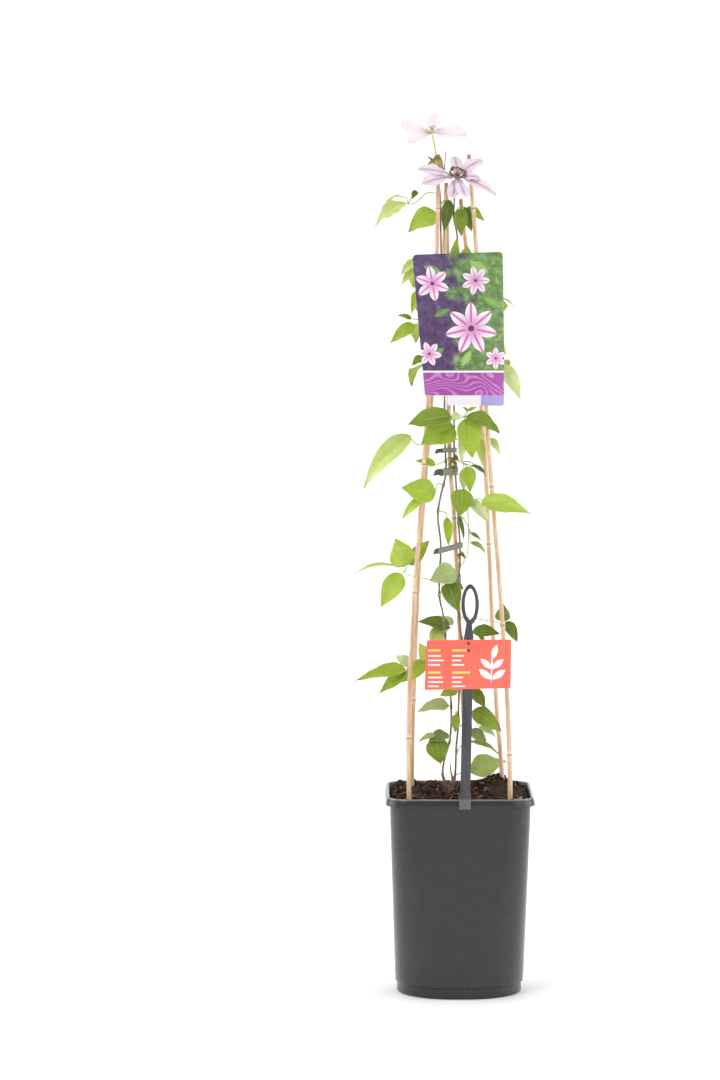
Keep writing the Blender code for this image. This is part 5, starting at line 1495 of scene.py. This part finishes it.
strap = slab(bar, STRAP_FRONT, back, 0.0003)
x = strap_x(0.268)
hook_low = POT_HEIGHT + GAP
add_to(strap, block((x - half - 0.0006, STRAP_FRONT + 0.0002, hook_low),
                    (x + half + 0.0006, -0.0926, hook_low + 0.0016), 0.0003))
add_to(strap, block((x - half - 0.0004, -0.0940, hook_low - 0.0055),
                    (x + half + 0.0004, -0.0928, hook_low + 0.0010), 0.0003))
add_to(strap, block((x - 0.0077, STRAP_FRONT - 0.0006, 0.2605),
                    (x + 0.0077, STRAP_FRONT + 0.0010, hook_low + 0.0013), 0.0005))
for height in STUD_HEIGHTS:
    line = [Vector((strap_x(height), y, height))
            for y in (back - 0.0004, STUD_FRONT + 0.0004, STUD_FRONT + 0.0001, STUD_FRONT)]
    add_to(strap, stem(line, [0.0019, 0.0019, 0.0017, 0.0014], 20, round_ends=False))
stand_for(finish_mesh("strap_bar", strap, strap_grey, 25), "strap", "label_strap")

# %% [markdown]
# ## The two cards
# Both cards are stiff printed plastic. Their print is worked out by the shader
# from where a point lies on the card, in millimetres: rows of plain bars and a
# leaf sprig on the coral card, and on the tall one a dark garden ground with
# open star flowers, leaves and a wavy band. The designs are invented for this
# model. Real cards get their gloss from a thin varnish, which a light coat
# layer gives, and their cut edges are rounded.

# %% Card outlines with round corners
CARD_THICKNESS = 0.0008


def rounded(corners, radii, steps=6):
    """An (x, z) outline with each corner rounded by its own radius."""
    points = []
    for i, (corner, bend) in enumerate(zip(corners, radii)):
        here = Vector(corner)
        before = (Vector(corners[i - 1]) - here).normalized()
        after = (Vector(corners[(i + 1) % len(corners)]) - here).normalized()
        if bend == 0:
            points.append((here.x, here.y))
            continue
        for step in range(steps + 1):
            t = step / steps
            p = here + before * bend * (1 - t) ** 2 + after * bend * t ** 2
            points.append((p.x, p.y))
    return points


# %% Shapes for printing, as masks that are 1 inside
def inside_bar(x, z, left, right, middle, tall):
    """A soft-ended bar."""
    across = (x - left).step(-0.15, 0.15) * (1 - (x - right).step(-0.15, 0.15))
    return across * (1 - abs(z - middle).step(tall - 0.15, tall + 0.15))


def inside_leaf(x, z, at, length, wide, angle):
    """A pointed oval from its own foot, turned by an angle in degrees."""
    c, s = math.cos(math.radians(angle)), math.sin(math.radians(angle))
    along = ((x - at[0]) * c + (z - at[1]) * s) / length
    aside = abs((z - at[1]) * c - (x - at[0]) * s)
    shape = along * (1 - along) * 4 * wide
    return (shape - aside).step(-0.15, 0.15)


# %% Coral care card
coral = Look("coral card print", Roughness=0.38, Coat_Weight=0.25, Coat_Roughness=0.2)
where = coral.place(scale=(1000, 1000, 1000))
x, _, z = coral.parts(where)
fleck = coral.noise(where, 0.9, 3.0)
yellow = coral.node("ShaderNodeValue")
yellow.outputs[0].default_value = 0.0
headings = Wire(coral, yellow.outputs[0])
rows = headings
for column, (left, reach) in enumerate(((-44.0, 26.0), (-12.0, 24.0))):
    for row, height in enumerate((474.8, 467.4, 461.3, 455.3, 445.1, 438.4, 432.3, 426.6)):
        length = reach * (0.62 + 0.38 * math.sin(2.3 * row + 1.7 * column) ** 2)
        if row % 4 == 0:
            headings = headings.most(inside_bar(x, z, left, left + length, height, 1.5))
        else:
            rows = rows.most(inside_bar(x, z, left, left + length * 0.8, height, 0.95))
sprig = inside_leaf(x, z, (40, 428), 50, 1.0, 88)
for foot, angle, size in (((41, 436), 35, 22), ((41, 436), 142, 22), ((41, 450), 40, 20),
                          ((41, 450), 138, 20), ((41.5, 463), 72, 20)):
    sprig = sprig.most(inside_leaf(x, z, foot, size, size * 0.20, angle))
coral_ground = coral.mix(fleck, (0.88, 0.115, 0.075), (0.94, 0.145, 0.095))
print_colour = coral.mix(headings, coral_ground, (0.93, 0.62, 0.12))
print_colour = coral.mix(rows.most(sprig), print_colour, (0.93, 0.90, 0.87))
coral_print = coral.wear(Base_Color=print_colour, Roughness=0.32 + fleck * 0.12,
                         Normal=coral.bump(fleck, 0.00004))

care_corners = [(-0.049, 0.4215), (0.066, 0.4240), (0.067, 0.4895), (-0.046, 0.4885)]
card_back = STRAP_FRONT - GAP
care_card = slab(rounded(care_corners, [0.002] * 4), card_back - CARD_THICKNESS, card_back, 0.0002)
care_card = finish_mesh("coral_card", care_card, coral_print)
pins = []
for height in STUD_HEIGHTS:
    line = [Vector((strap_x(height), card_back + y, height)) for y in (-0.01, 0.01)]
    pin = stem(line, [0.0022, 0.0022], 20, round_ends=False)
    pins.append(finish_mesh("drill", pin, coral_print))
cut(care_card, pins, 25)
stand_for(care_card, "care_card", "care_card")

# %% Picture card print
garden = Look("picture card print", Roughness=0.30, Coat_Weight=0.35, Coat_Roughness=0.12)
where = garden.place(scale=(1000, 1000, 1000))
x, _, z = garden.parts(where)
haze = garden.noise(where, 0.035, 3.0, 0.6)
clumps = garden.noise(where, 0.11, 5.0, 0.65)
up = z.step(860, 1000)
ground = garden.ramp(clumps, [(0.30, (0.045, 0.022, 0.075)), (0.52, (0.088, 0.045, 0.130)),
                              (0.68, (0.15, 0.085, 0.20)), (0.85, (0.26, 0.18, 0.32))])
shrub = garden.ramp(clumps, [(0.25, (0.050, 0.095, 0.035)), (0.48, (0.12, 0.22, 0.06)),
                             (0.64, (0.24, 0.38, 0.13)), (0.85, (0.45, 0.60, 0.32))])
scene_print = garden.mix((haze + x * 0.006).step(0.42, 0.62), ground, shrub)


def print_leaf(colour, at, length, angle, shade):
    """Adds a printed leaf with a pale midrib."""
    body = inside_leaf(x, z, at, length, length * 0.20, angle)
    rib = inside_leaf(x, z, at, length, 0.5, angle)
    tinted = garden.mix(haze, shade, tuple(channel * 1.6 for channel in shade))
    return garden.mix(rib * 0.5, garden.mix(body, colour, tinted), (0.45, 0.56, 0.28))


def print_star(colour, at, radius, points, turn, deep):
    """Adds a printed open flower: pointed tepals with a dark bar and a maroon eye."""
    dx, dz = (x - at[0]) / radius, (z - at[1]) / radius
    distance = (dx * dx + dz * dz) ** 0.5
    angle = dz.maths("ARCTAN2", dz, dx) + math.radians(turn)
    wedge = abs(((angle * (points / (2 * math.pi))).fraction() - 0.5)) * 2
    inner = 1 - wedge
    tip = 0.42 + (wedge ** 0.7) * 0.58
    body = (tip - distance).step(-0.02, 0.03)
    stripe = (1 - (inner * distance).step(0.06, 0.13)) * distance.step(0.10, 0.3)
    tinted = garden.mix(distance.step(0.1, 0.9), (0.66, 0.34, 0.58), (0.90, 0.76, 0.86))
    tinted = garden.mix((1 - (tip - distance).step(0.02, 0.16)) * 0.5, tinted, (0.95, 0.90, 0.94))
    tinted = garden.mix(stripe * deep, tinted, (0.52, 0.10, 0.34))
    seam = inner.step(0.84, 1.0) * (1 - distance.step(0.35, 0.6))
    tinted = garden.mix(seam * 0.6, tinted, (0.34, 0.14, 0.32))
    tinted = garden.mix(1 - distance.step(0.09, 0.15), tinted, (0.20, 0.02, 0.05))
    return garden.mix(body, colour, tinted)


for at, length, angle, shade in (((-50, 985), 26, -20, (0.12, 0.22, 0.05)),
                                 ((12, 992), 30, -32, (0.20, 0.34, 0.08)),
                                 ((-44, 858), 28, 40, (0.10, 0.20, 0.05)),
                                 ((54, 930), 26, 150, (0.15, 0.28, 0.06)),
                                 ((2, 852), 24, 60, (0.22, 0.36, 0.10)),
                                 ((-14, 928), 24, 205, (0.09, 0.17, 0.05))):
    scene_print = print_leaf(scene_print, at, length, angle, shade)
for at, radius, points, turn, deep in (((-42, 868), 17, 6, 8, 0.5), ((47, 862), 15, 6, 30, 0.5),
                                       ((-38, 962), 24, 6, 20, 0.8), ((20, 966), 20, 7, 0, 0.6),
                                       ((14, 902), 36, 7, 12, 0.9)):
    scene_print = print_star(scene_print, at, radius, points, turn, deep)
ripple = garden.noise(where, 0.026, 1.0, 0.4)
curls = (1 - abs(((ripple * 15.0 + z * 0.04).fraction() - 0.5)).step(0.04, 0.26)) * 0.75
band_print = garden.mix(curls, (0.33, 0.060, 0.32), (0.60, 0.27, 0.60))
tab_print = garden.mix(ripple, (0.32, 0.25, 0.56), (0.42, 0.34, 0.66))
strip_print = garden.mix(ripple, (0.74, 0.70, 0.79), (0.82, 0.78, 0.86))
foot_print = garden.mix((x - 27).step(-0.2, 0.2), strip_print, tab_print)
card_print = garden.mix((z - 812.5).step(-0.2, 0.2), foot_print, band_print)
card_print = garden.mix((z - 843.0).step(-0.2, 0.2), card_print, (0.88, 0.84, 0.90))
card_print = garden.mix((z - 845.5).step(-0.2, 0.2), card_print, scene_print)
facing_back = garden.parts(Wire(garden, garden.node("ShaderNodeNewGeometry").outputs["Normal"]))[1]
card_print = garden.mix((facing_back > 0.5), card_print, (0.80, 0.80, 0.82))
garden_print = garden.wear(Base_Color=card_print, Normal=garden.bump(clumps, 0.00005),
                           Roughness=0.26 + clumps * 0.10)

# %% Lean the picture card on the two front canes
card_corners = [(-0.048, 0.812), (-0.018, 0.812), (-0.018, 0.7995), (0.058, 0.7985),
                (0.0585, 0.860), (0.0565, 1.0045), (-0.065, 1.0005), (-0.0545, 0.885)]
outline = rounded(card_corners, [0.002, 0, 0.001, 0.004, 0, 0.006, 0.007, 0])
picture = slab(outline, -CARD_THICKNESS, 0.0, 0.0002)
low, high = 0.7985, 1.0045
leaned_on = [canes["cane_front_left"], canes["cane_front_right"]]
lean = min(at_height(c, high).y - at_height(c, low).y for c in leaned_on)
rest = 1.0
for cane_line in leaned_on:
    for i in range(21):
        height = low + (high - low) * i / 20
        front = at_height(cane_line, height).y - CANE_RADIUS[0]
        rest = min(rest, front - lean * (height - low) / (high - low))
for vert in picture.verts:
    vert.co.y += rest - GAP + lean * (vert.co.z - low) / (high - low)
stand_for(finish_mesh("garden_card", picture, garden_print, 25), "picture_card", "picture_card")
